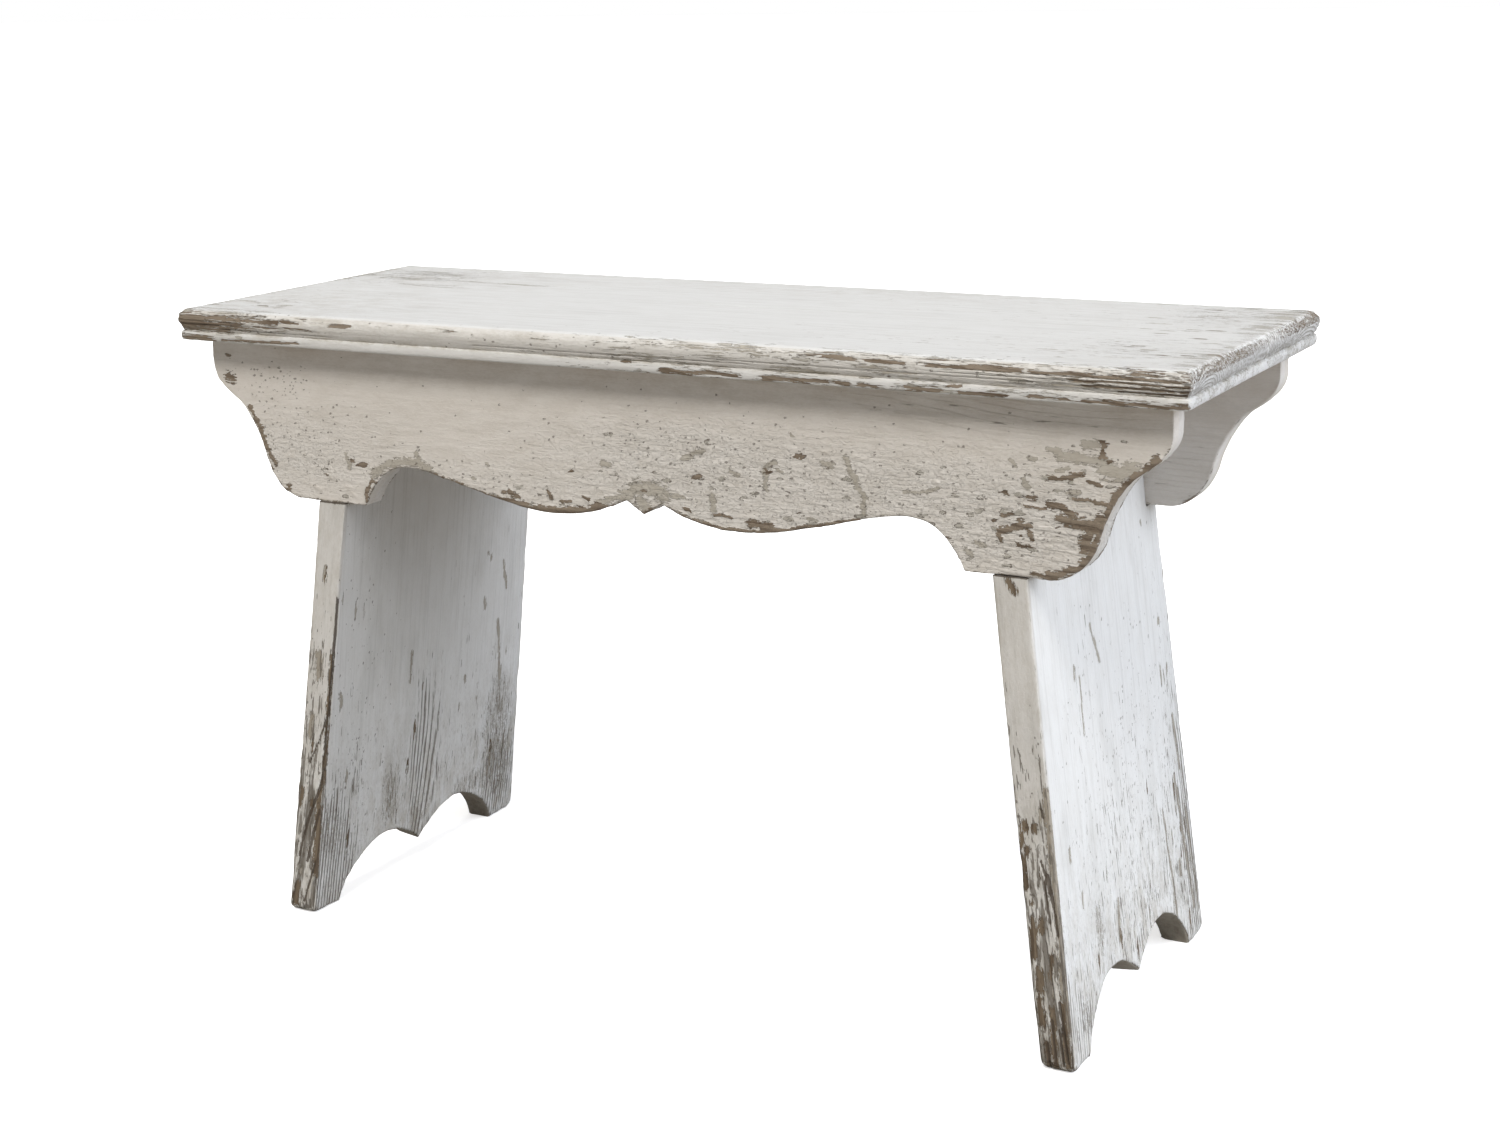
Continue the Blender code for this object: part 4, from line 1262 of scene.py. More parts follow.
def wrinkled_group():
    """Many coats of paint: long low ridges along the grain with small sharp scales on them."""
    tree, given, out = new_group(
        "wrinkled_paint",
        [PLACE_INPUT, ("Amount", "Float", 0.5)],
        [("Hollow", "Float"), ("Height", "Float")])
    place, amount = given["Place"], given["Amount"]
    ridges = swell(tree, place, (80, 400, 400), 3, 0.6)
    scales = swell(tree, place, (260, 430, 430), 3, 0.6)
    raised = ramp(tree, ridges, -0.35, 0.35)
    scaly = ramp(tree, scales, -0.28, -0.04)
    low = times(tree, minus(tree, 1.0, raised), minus(tree, 1.0, scaly))
    tree.links.new(times(tree, low, amount), out["Hollow"])
    height = plus(tree, times(tree, raised, 0.28), times(tree, scaly, 0.7))
    tree.links.new(times(tree, height, amount), out["Height"])
    return tree


def flaked_group():
    """A layer lost where its field passes a half, with a ragged rim and a thin shadow along it."""
    tree, given, out = new_group(
        "flaked_layer",
        [PLACE_INPUT, ("Loss", "Float", 0.0), ("Ragged", "Float", 0.3)],
        [("Mask", "Float"), ("Rim", "Float")])
    coarse = swell(tree, given["Place"], (90, 420, 420), 4, 0.62)
    fine = swell(tree, given["Place"], (330, 1000, 1000), 3, 0.6)
    both = plus(tree, times(tree, coarse, 0.65), times(tree, fine, 0.5))
    near = times(tree, ramp(tree, given["Loss"], 0.04, 0.34),
                 ramp(tree, given["Loss"], 0.62, 0.85, 1.0, 0.2))
    shift = times(tree, times(tree, both, given["Ragged"]), near)
    value = plus(tree, given["Loss"], shift)
    tree.links.new(ramp(tree, value, 0.485, 0.515), out["Mask"])
    rise = ramp(tree, value, 0.44, 0.50)
    fall = ramp(tree, value, 0.50, 0.57, 1.0, 0.0)
    tree.links.new(times(tree, rise, fall), out["Rim"])
    return tree


def speckled_group():
    """Small ragged spots where paint has gone, scattered as thickly as the field says."""
    tree, given, out = new_group(
        "paint_spots",
        [PLACE_INPUT, ("Density", "Float", 0.0), ("Size", "Float", 0.3)],
        [("Mask", "Float"), ("Rim", "Float"), ("Pick", "Float")])
    bend = swell(tree, given["Place"], (1.6, 1.6, 1.6), 3, 0.65, 0.25)
    bent = put(tree, "ShaderNodeVectorMath", {0: given["Place"], 1: bend}, operation="ADD")
    cells = put(tree, "ShaderNodeTexVoronoi",
                {"Vector": bent.outputs[0], "Scale": 1.0, "Randomness": 1.0})
    pick = put(tree, "ShaderNodeSeparateColor", {"Color": cells.outputs["Color"]})
    chosen = maths(tree, "LESS_THAN", pick.outputs[0], given["Density"])
    size = times(tree, plus(tree, pick.outputs[1], 0.25), given["Size"])
    inside = minus(tree, size, cells.outputs["Distance"])
    tree.links.new(times(tree, ramp(tree, inside, 0.0, 0.03), chosen), out["Mask"])
    rim = times(tree, ramp(tree, inside, -0.05, 0.0), ramp(tree, inside, 0.02, 0.09, 1.0, 0.0))
    tree.links.new(times(tree, rim, chosen), out["Rim"])
    tree.links.new(pick.outputs[2], out["Pick"])
    return tree


def grime_group():
    """A thin brown-grey film, thicker where the field says and broken up by fine mottle. Where the
    field holds painted shade, the film is painted shade too.
    """
    tree, given, out = new_group(
        "grime_and_shade_film",
        [PLACE_INPUT, ("Amount", "Float", 0.2)],
        [("Mask", "Float")])
    broad = swell(tree, given["Place"], (40, 90, 90), 4, 0.65)
    fine = swell(tree, given["Place"], (300, 900, 900), 3, 0.6)
    both = plus(tree, times(tree, broad, 0.65), times(tree, fine, 0.35))
    value = times(tree, ramp(tree, both, -0.7, 0.9), given["Amount"])
    tree.links.new(value, out["Mask"])
    return tree


def slivers_group():
    """Short thin slivers of lost paint that follow the grain, as thick as the field says."""
    tree, given, out = new_group(
        "grain_slivers",
        [PLACE_INPUT, ("Density", "Float", 0.0)],
        [("Mask", "Float")])
    thin = swell(tree, given["Place"], (1, 1, 1), 3, 0.55)
    broad = swell(tree, given["Place"], (0.28, 0.12, 0.12), 3, 0.6, 0.28)
    density = plus(tree, given["Density"], broad)
    need = minus(tree, 1.45, times(tree, density, 1.25))
    over = minus(tree, thin, need)
    mask = times(tree, ramp(tree, over, 0.0, 0.10), ramp(tree, given["Density"], 0.02, 0.10))
    tree.links.new(mask, out["Mask"])
    return tree


def raised_grain_group():
    """Grooves between the hard lines of weathered grain, broken up along their length. Its Groove
    output darkens the paint's colour as painted shade in the grooves.
    """
    tree, given, out = new_group(
        "raised_grain",
        [PLACE_INPUT, ("Ring", "Float", 0.0), ("Amount", "Float", 0.0)],
        [("Groove", "Float"), ("Height", "Float")])
    count = plus(tree, given["Ring"], swell(tree, given["Place"], (30, 420, 420), 2, 0.5, 0.12))
    dip = maths(tree, "ABSOLUTE", minus(tree, maths(tree, "FRACT", count), 0.5))
    groove = ramp(tree, dip, 0.09, 0.24, 1.0, 0.0)
    broken = swell(tree, given["Place"], (40, 350, 350), 3, 0.6, 0.30)
    gate = plus(tree, given["Amount"], broken)
    shown = times(tree, groove, ramp(tree, gate, 0.42, 0.60))
    tree.links.new(times(tree, shown, ramp(tree, given["Amount"], 0.05, 0.2)), out["Groove"])
    height = times(tree, groove, times(tree, given["Amount"], -1.0))
    tree.links.new(height, out["Height"])
    return tree


GROUPS = {
    "pine": pine_group(), "brushed": brushed_group(), "wrinkled": wrinkled_group(),
    "flaked": flaked_group(), "spots": speckled_group(), "grime_and_shade": grime_group(),
    "slivers": slivers_group(), "raised": raised_grain_group(),
}


def new_material(name):
    """A material with its shader joined to its output, and its node tree."""
    material = bpy.data.materials.new(name)
    material.use_nodes = True
    tree = material.node_tree
    tree.nodes.clear()
    shader = tree.nodes.new("ShaderNodeBsdfPrincipled")
    output = tree.nodes.new("ShaderNodeOutputMaterial")
    tree.links.new(shader.outputs[0], output.inputs[0])
    return material, tree, shader


# How strongly each mark darkens the paint, and how deep it looks, in shares of BUMP_REACH
MARK_SHADE = 0.85
PIT_SHADE = 0.62
BUMP_REACH = 1.4 * MM
GRAIN_DEPTH = 0.12
PIT_DEPTH = 0.3
SLIVER_DEPTH = 0.15
GROOVE_DEPTH = 0.7
SPLIT_DEPTH = 0.5
UNDERCOAT_DEPTH = 0.6
WORN_ROUGHNESS = 0.85
PAINT_SPECULAR = 0.35


def painted_wood(name, look):
    """Old paint over a grey undercoat over pine, worn away where the board's fields say."""
    material, tree, shader = new_material(name)
    place = field(tree, "board_place", "Vector")
    ring = field(tree, "ring")
    pine = place_group(tree, "pine", {
        "Place": place, "Ring": ring, "Early Wood": (*look["early"], 1),
        "Late Wood": (*look["late"], 1), "Contrast": 0.75})
    fresh = place_group(tree, "pine", {
        "Place": place, "Ring": ring, "Early Wood": (*look["raw_early"], 1),
        "Late Wood": (*look["raw_late"], 1), "Contrast": 0.6})
    wood = mixed(tree, field(tree, "raw"), pine["Color"], fresh["Color"])
    coat = place_group(tree, "brushed", {
        "Place": place, "Paint": (*look["paint"], 1), "Worn Paint": (*look["worn_paint"], 1),
        "Streaks": look["streaks"], "Blots": look["blots"]})
    under = place_group(tree, "brushed", {
        "Place": place, "Paint": (*look["primer"], 1), "Worn Paint": (*look["worn_primer"], 1),
        "Streaks": 0.7, "Blots": 0.5})
    wrinkles = place_group(tree, "wrinkled", {"Place": place, "Amount": field(tree, "rough")})
    flaky = stretched(tree, place, look["flake_scale"])
    undercoat_and_shade = place_group(tree, "flaked", {
        "Place": flaky, "Loss": field(tree, "undercoat_and_shade"), "Ragged": look["ragged"]})
    bare = place_group(tree, "flaked", {
        "Place": flaky, "Loss": field(tree, "bare"), "Ragged": look["ragged"]})
    pits = place_group(tree, "spots", {
        "Place": stretched(tree, place, (300, 430, 430)), "Density": field(tree, "pits"),
        "Size": 0.30})
    chips = place_group(tree, "spots", {
        "Place": stretched(tree, place, look["chip_scale"]), "Density": field(tree, "chips"),
        "Size": 0.46})
    grime_and_shade = place_group(tree, "grime_and_shade", {"Place": place, "Amount": field(tree, "dirt_and_shade")})
    slivers = place_group(tree, "slivers", {
        "Place": stretched(tree, place, look["sliver_scale"]), "Density": field(tree, "slivers")})
    raised = place_group(tree, "raised", {
        "Place": place, "Ring": ring, "Amount": field(tree, "grooved")})
    split_and_shadow_line = place_group(tree, "flaked", {
        "Place": place, "Loss": field(tree, "split_and_shadow_line"), "Ragged": 0.15})

    # The colour, layer over layer: how much of each shows, its colour and any other way to mix
    lost_spot = mixed(tree, maths(tree, "LESS_THAN", chips["Pick"], 0.2), under["Color"], wood)
    rim_shade = look["rim_shade"]
    layers = [
        # Rough paint is lightened toward the chalk colour: whiter worn paint, and on the legs partly
        # a painted highlight
        (times(tree, field(tree, "rough"), look["chalk_and_highlight_share"]), look["chalk_and_highlight"]),
        (undercoat_and_shade["Mask"], under["Color"]),
        # The warm tint is partly the paint's tone and partly painted warm front light and shade on
        # the nose and front edges
        (field(tree, "warm_light_and_tone"), look["warm_light_and_tone_tint"], "MULTIPLY"),
        # Painted shade: the hollows of the wrinkled paint and the raised-grain grooves are darkened
        # in colour; the slivers are lost paint
        (times(tree, wrinkles["Hollow"], look["hollow_shade"]), look["sliver_and_shade"]),
        (times(tree, slivers["Mask"], MARK_SHADE), look["sliver_and_shade"]),
        (times(tree, raised["Groove"], MARK_SHADE), look["sliver_and_shade"]),
        (chips["Mask"], lost_spot),
        (times(tree, chips["Rim"], rim_shade), look["crack_and_shadow"]),
        (times(tree, undercoat_and_shade["Rim"], rim_shade), look["crack_and_shadow"]),
        (grime_and_shade["Mask"], look["grime_and_shade"], "MULTIPLY"),
        (bare["Mask"], wood),
        (times(tree, bare["Rim"], rim_shade), look["crack_and_shadow"]),
        (times(tree, pits["Mask"], PIT_SHADE), look["crack_and_shadow"]),
        # The split mask holds real splits and, on the legs, a painted shadow line under the apron
        (times(tree, split_and_shadow_line["Mask"], MARK_SHADE), look["crack_and_shadow"]),
    ]
    colour = coat["Color"]
    for share, over, *way in layers:
        colour = mixed(tree, share, colour, over, *way)
    tree.links.new(colour, shader.inputs["Base Color"])

    lost = maths(tree, "MAXIMUM", undercoat_and_shade["Mask"], chips["Mask"])
    lost = maths(tree, "MAXIMUM", bare["Mask"], times(tree, lost, UNDERCOAT_DEPTH))
    rough = ramp(tree, lost, 0.0, 1.0, look["sheen_rough"], WORN_ROUGHNESS)
    rough = plus(tree, rough, times(tree, coat["Height"], 0.1), clamp=True)
    tree.links.new(rough, shader.inputs["Roughness"])
    shader.inputs["Specular IOR Level"].default_value = PAINT_SPECULAR

    heights = [
        (coat["Height"], look["brush_depth"]), (wrinkles["Height"], look["wrinkle_depth"]),
        (pine["Ridge"], times(tree, bare["Mask"], GRAIN_DEPTH)),
        (pine["Ridge"], look["show_through"]), (pits["Mask"], -PIT_DEPTH),
        (slivers["Mask"], -SLIVER_DEPTH), (raised["Height"], GROOVE_DEPTH),
        (split_and_shadow_line["Mask"], -SPLIT_DEPTH),
    ]
    height = times(tree, lost, -look["coat_step"])
    for value, depth in heights:
        height = plus(tree, height, times(tree, value, depth))
    bump = put(tree, "ShaderNodeBump", {"Height": height, "Distance": BUMP_REACH, "Strength": 1.0})
    tree.links.new(bump.outputs[0], shader.inputs["Normal"])
    return material


# Colours and strengths of each board's finish. The sliver and chip scales say how many of them
# fit in a metre along the grain, across it and into the depth. The flake scale stretches the
# places where paint flakes off in the same three ways.

AGED_PINE = {
    "early": (0.285, 0.233, 0.178), "late": (0.150, 0.112, 0.078),
    "raw_early": (0.50, 0.37, 0.23), "raw_late": (0.30, 0.19, 0.10),
    "primer": (0.52, 0.495, 0.445), "worn_primer": (0.45, 0.425, 0.375),
    "crack_and_shadow": (0.140, 0.116, 0.092), "grime_and_shade": (0.66, 0.62, 0.56),
    "sliver_and_shade": (0.270, 0.250, 0.220), "chalk_and_highlight": (0.79, 0.785, 0.77),
    "warm_light_and_tone_tint": (0.975, 0.930, 0.870),
}
SEAT_LOOK = {
    **AGED_PINE, "paint": (0.755, 0.755, 0.745), "worn_paint": (0.63, 0.625, 0.61), "streaks": 0.45,
    "blots": 0.25, "ragged": 0.75, "rim_shade": 0.7, "sheen_rough": 0.5,
    "coat_step": 0.4, "brush_depth": 0.03, "wrinkle_depth": 0.26, "show_through": 0.03,
    "sliver_scale": (85, 480, 480), "hollow_shade": 0.15, "sliver_and_shade": (0.42, 0.395, 0.360),
    "warm_light_and_tone_tint": (0.985, 0.960, 0.925), "flake_scale": (0.5, 2.0, 2.0), "chalk_and_highlight_share": 0.3,
    "chip_scale": (70, 300, 300),
}
APRON_LOOK = {
    **AGED_PINE, "paint": (0.750, 0.723, 0.688), "worn_paint": (0.65, 0.625, 0.585), "streaks": 0.3,
    "blots": 0.3, "ragged": 0.55, "rim_shade": 0.8, "sheen_rough": 0.5,
    "coat_step": 0.5, "brush_depth": 0.02, "wrinkle_depth": 0.42, "show_through": 0.03,
    "sliver_scale": (95, 520, 520), "hollow_shade": 0.14,
    "flake_scale": (1.0, 1.0, 1.0), "chalk_and_highlight_share": 0.4, "chip_scale": (120, 260, 260),
}
# On the legs the warm tint is darker, the dark sliver colour also paints shade into the grain
# grooves, and the bluish-white chalk is partly a painted highlight on rough paint
LEG_LOOK = {
    **AGED_PINE, "paint": (0.745, 0.748, 0.742), "worn_paint": (0.56, 0.56, 0.545), "streaks": 0.36,
    "blots": 0.4, "ragged": 0.6, "rim_shade": 0.7, "sheen_rough": 0.5,
    "coat_step": 0.4, "brush_depth": 0.035, "wrinkle_depth": 0.26, "show_through": 0.05,
    "sliver_scale": (60, 560, 560), "hollow_shade": 0.15,
    "primer": (0.43, 0.40, 0.35), "worn_primer": (0.35, 0.32, 0.275), "sliver_and_shade": (0.20, 0.18, 0.155),
    "early": (0.215, 0.168, 0.118), "late": (0.108, 0.078, 0.052), "crack_and_shadow": (0.095, 0.074, 0.055),
    "warm_light_and_tone_tint": (0.915, 0.890, 0.860), "flake_scale": (0.9, 2.1, 2.1), "chalk_and_highlight_share": 0.45,
    "chalk_and_highlight": (0.815, 0.825, 0.820), "chip_scale": (60, 300, 300),
}


CLEAT_EARLY = (0.50, 0.37, 0.23)
CLEAT_LATE = (0.28, 0.18, 0.10)
CLEAT_GRIME = (0.55, 0.48, 0.40)
ZINC = (0.52, 0.52, 0.50)
TARNISH = (0.16, 0.11, 0.08)


def bare_pine(name):
    """Unpainted pine, a little dusty."""
    material, tree, shader = new_material(name)
    place = field(tree, "board_place", "Vector")
    pine = place_group(tree, "pine", {
        "Place": place, "Ring": field(tree, "ring"), "Early Wood": (*CLEAT_EARLY, 1),
        "Late Wood": (*CLEAT_LATE, 1), "Contrast": 0.65})
    grime_and_shade = place_group(tree, "grime_and_shade", {"Place": place, "Amount": field(tree, "dirt_and_shade")})
    colour = mixed(tree, grime_and_shade["Mask"], pine["Color"], CLEAT_GRIME, "MULTIPLY")
    tree.links.new(colour, shader.inputs["Base Color"])
    tree.links.new(ramp(tree, pine["Ridge"], 0.0, 1.0, 0.78, 0.62), shader.inputs["Roughness"])
    bump = put(tree, "ShaderNodeBump", {"Height": pine["Ridge"], "Distance": 0.15 * MM})
    tree.links.new(bump.outputs[0], shader.inputs["Normal"])
    return material


def screw_steel(name):
    """Dull zinc-plated steel with a little brown tarnish."""
    material, tree, shader = new_material(name)
    place = put(tree, "ShaderNodeTexCoord").outputs["Object"]
    grime_and_shade = place_group(tree, "grime_and_shade", {"Place": place, "Amount": 0.9})
    colour = mixed(tree, grime_and_shade["Mask"], ZINC, TARNISH)
    tree.links.new(colour, shader.inputs["Base Color"])
    shader.inputs["Metallic"].default_value = 1.0
    scratches = noise(tree, place, (900, 900, 900), 3)
    tree.links.new(ramp(tree, scratches, 0.3, 0.7, 0.32, 0.55), shader.inputs["Roughness"])
    bump = put(tree, "ShaderNodeBump", {"Height": scratches, "Distance": 0.05 * MM})
    tree.links.new(bump.outputs[0], shader.inputs["Normal"])
    return material


# Where each board is worn, in millimetres on it. A line is the points that it follows and its
# width. A soft blot is its middle, its reach both ways and its strength.

FRONT_APRON_WEAR = {
    "bare": FRONT_APRON_BARE, "undercoat_and_shade": FRONT_APRON_PRIMED, "dents": FRONT_APRON_DENTS,
    "arris": [(330, -60, 40, 60, 0.30), (-325, -70, 25, 40, 0.3), (-100, -103, 70, 14, 0.68),
              (60, -100, 90, 14, 0.30)],
    "chipped": [(-265, -98, 50, 16, 0.32), (-120, -98, 60, 8, 0.30), (70, -84, 90, 20, 0.34),
                (240, -88, 70, 24, 0.42), (310, -60, 40, 24, 0.22), (60, -60, 60, 14, 0.12)],
    "rough": [(-290, -85, 90, 30, 0.7), (-120, -92, 90, 20, 0.5), (80, -85, 130, 36, 1.0),
              (260, -80, 130, 38, 1.1), (30, -55, 90, 22, 0.55), (0, -50, 300, 40, 0.15)],
    "pits": [(-305, -30, 36, 12, 0.8), (-290, -68, 42, 24, 0.8), (-180, -84, 50, 16, 0.5),
             (-130, -98, 70, 10, 0.7), (30, -44, 60, 14, 0.35), (60, -74, 100, 26, 0.6),
             (240, -78, 110, 32, 0.36), (60, -40, 260, 30, 0.08)],
    # The first dirt blot, along the top edge, is painted shade under the seat's overhang; the second
    # is dirt
    "dirt_and_shade": [(0, -5, 400, 12, 0.15), (300, -70, 60, 40, 0.15)],
    "slivers": [(-270, -85, 50, 20, 0.12), (290, -80, 60, 30, 0.28)],
    "grooved": [(290, -85, 70, 30, 0.28), (240, -14, 110, 12, 0.36)],
}
REAR_APRON_WEAR = {
    "bare": [(((-352, -30), (-338, -48), (-326, -66)), 3.5), (((180, -104), (210, -112)), 3.0),
             (((-60, -103), (-20, -98)), 2.6), (((120, -60), (132, -58)), 3.2)],
    "undercoat_and_shade": [(((-300, -40), (-280, -42)), 4.2), (((40, -88), (62, -84)), 4.6),
               (((150, -70), (152, -84)), 3.4), (((-210, -84), (-190, -80)), 5.0)],
    "dents": [(((-120, -50), (-112, -53)), 2.4), (((250, -95), (262, -99)), 2.2)],
    "arris": [(-330, -60, 40, 60, 0.2), (60, -100, 80, 14, 0.12)],
    "chipped": [(-250, -90, 80, 25, 0.3), (100, -85, 110, 22, 0.3)],
    "rough": [(-240, -85, 130, 34, 0.8), (110, -85, 150, 34, 0.8)],
    "pits": [(-100, -60, 120, 40, 0.3), (280, -50, 60, 40, 0.4)],
    # This dirt blot along the top edge is painted shade under the seat's overhang
    "dirt_and_shade": [(0, -5, 400, 12, 0.15)],
    "slivers": [(250, -70, 60, 40, 0.3), (-200, -70, 80, 40, 0.35)],
    "grooved": [(-180, -80, 160, 30, 0.35), (240, -80, 90, 35, 0.3)],
}
RIGHT_LEG_WEAR = {
    "inner": [], "patches_inside": False,
    "outer": [
        (((89, 314), (90, 311)), 2.4), (((-28, 81), (-32, 51)), 3.6),
        (((115, 167), (119, 127)), 3.4), (((106, 126), (121, 22)), 3.4),
        (((99, 63), (99, 55)), 4.4), (((114, 204), (113, 200)), 3.2),
        (((106, 240), (105, 236)), 2.8), (((75, 109), (84, 27)), 3.0),
        (((123, 99), (131, 19)), 3.4), (((-27, 268), (-17, 241)), 2.6),
        (((-64, 248), (-64, 241)), 3.0), (((-56, 239), (-57, 202)), 2.6),
        (((-104, 139), (-104, 132)), 3.4), (((132, 181), (134, 143)), 2.8),
        (((110, 115), (110, 106)), 3.4)],
    "patches": [(-66, 76, 9, 26, 0.50), (-104, 30, 12, 24, 0.36), (120, 60, 10, 50, 0.4),
                (30, 60, 40, 30, 0.26)],
    "front_edge": [
        (((17.9, 162), (17.5, 160)), 6.2), (((10.8, 163), (11.2, 159)), 3.2),
        (((20.2, 155), (20.6, 151)), 3.8), (((21.8, 148), (21.8, 147)), 3.2),
        (((17.2, 147), (17.5, 144)), 4.2), (((21.9, 141), (21.9, 131), (20.6, 122)), 4.8),
        (((18.0, 112), (18, 111)), 3.0), (((18.4, 100), (19.0, 88), (19.3, 76)), 4.8),
        (((11.8, 102), (13.0, 93)), 4.0), (((17.1, 66), (17.5, 55)), 6.2),
        (((19.6, 48), (18.5, 32)), 4.6), (((7.5, 79), (10.0, 62)), 2.6),
        (((11.0, 43), (12.1, 4)), 4.4), (((3.9, 47), (3.8, 6)), 3.8),
        (((17.3, 20), (16.8, 4)), 3.6), (((13.0, 318), (9.0, 312)), 5.0)],
    "rubbed": [(((1.0, 186), (1.0, 157), (0.6, 131), (0.4, 95), (1.1, 62), (1.0, 31)), 5.4),
               (((3.0, 31), (3.4, 8)), 5.0)],
    "low_slivers": 0.52, "low_grooves": 0.25,
    "chipped": [(110, 120, 30, 130, 0.12), (0, 60, 110, 60, 0.08), (-136, 100, 8, 120, 0.25)],
    "cracks": [
        (((9.0, 140), (6.5, 131), (5.0, 120), (2.8, 107), (2.3, 91)), 1.7),
        (((5.1, 132), (3.0, 112)), 1.7), (((5.4, 176), (4.8, 168)), 1.6),
        (((5.8, 49), (3.6, 8)), 1.8), (((11.9, 36), (12.0, 6)), 1.8),
        (((16.9, 20), (16.5, 2)), 1.6), (((7.5, 30), (6.9, 5)), 1.6),
        (((7.8, 128), (6.7, 99)), 1.4)],
    "arris": [(-135, 60, 14, 90, 0.12), (135, 120, 18, 120, 0.25)],
    "slits": [(0, 180, 120, 90, 0.25), (110, 140, 25, 110, 0.5)], "low_slits": 0.75,
    "rough": [(120, 120, 22, 160, 0.5), (-136, 160, 6, 200, 0.6), (0, 70, 120, 70, 0.4)],
    "pits": [(-134, 160, 6, 120, 0.30), (40, 150, 100, 90, 0.34)],
    "dirt_and_shade": [(0, 45, 130, 40, 0.45)],
    "slivers": [(20, 120, 100, 110, 0.40), (120, 150, 25, 160, 0.40), (-60, 230, 40, 80, 0.28)],
    "grooved": [(124, 100, 16, 110, 0.75), (-137, 60, 8, 60, 0.5), (-110, 30, 30, 40, 0.35)],
}
LEFT_LEG_WEAR = {
    "outer": [], "patches_inside": True,
    "inner": [
        (((72, 240), (72, 239)), 2.8), (((77, 237), (77, 236)), 2.8), (((71, 202), (72, 195)), 3.2),
        (((102, 204), (95, 228)), 3.0), (((-117, 173), (-116, 162)), 3.0),
        (((-28, 182), (-28, 158)), 2.8), (((50, 141), (51, 135)), 2.8),
        (((93, 178), (103, 123)), 3.2)],
    "patches": [(104, 100, 24, 36, 0.44), (110, 45, 26, 30, 0.48), (-45, 70, 16, 34, 0.42),
                (-120, 60, 20, 40, 0.36), (60, 40, 20, 20, 0.34), (0, 40, 24, 30, 0.3)],
    "front_edge": [
        (((20.6, 86), (21.4, 61), (22.0, 35)), 6.2), (((21.5, 205), (21.9, 148), (22.5, 109)), 3.0),
        (((6.4, 23), (5.7, 8)), 6.0), (((4.2, 99), (2.8, 86)), 3.4),
        (((21.8, 109), (19.0, 88)), 3.6)],
    "rubbed": [(((10.3, 205), (10.8, 189)), 6.6), (((7.6, 158), (7.5, 142)), 5.1)],
    "low_slivers": 0.12, "low_grooves": 0.15,
    "chipped": [(-110, 90, 30, 110, 0.10), (100, 60, 40, 60, 0.15), (-40, 70, 30, 60, 0.10)],
    "cracks": [
        (((22.4, 250), (22.6, 231), (22.4, 205), (22.2, 179), (22.4, 162)), 1.9),
        (((22.4, 162), (21.2, 138), (21.5, 120)), 1.8),
        (((21.8, 160), (15.9, 139), (8.4, 120)), 1.6),
        (((22.4, 117), (18.9, 99), (12.1, 78), (7.4, 57), (5.7, 46)), 2.3),
        (((20.8, 84), (17.2, 66), (13.4, 42)), 2.3), (((21.3, 44), (16.9, 25), (13.6, 10)), 1.9)],
    "arris": [(-137, 40, 12, 60, 0.2), (130, 60, 14, 60, 0.3)],
    "slits": [(0, 120, 120, 80, 0.15), (-110, 120, 30, 120, 0.3)], "low_slits": 0.4,
    "rough": [(0, 90, 150, 80, 0.35), (-137, 160, 6, 220, 0.7), (110, 60, 30, 50, 0.4)],
    "pits": [(-100, 150, 40, 120, 0.25), (-137, 180, 5, 120, 0.35)],
    "dirt_and_shade": [(0, 30, 160, 50, 0.10), (108, 40, 40, 60, 0.8), (0, 40, 22, 50, 0.6),
             (-45, 60, 20, 50, 0.4)],
    "slivers": [(60, 130, 50, 100, 0.2), (-100, 110, 30, 100, 0.45), (100, 60, 40, 70, 0.4)],
    "grooved": [(-1, 90, 24, 80, 0.85), (-116, 40, 26, 56, 1.0), (110, 30, 30, 50, 0.6)],
}
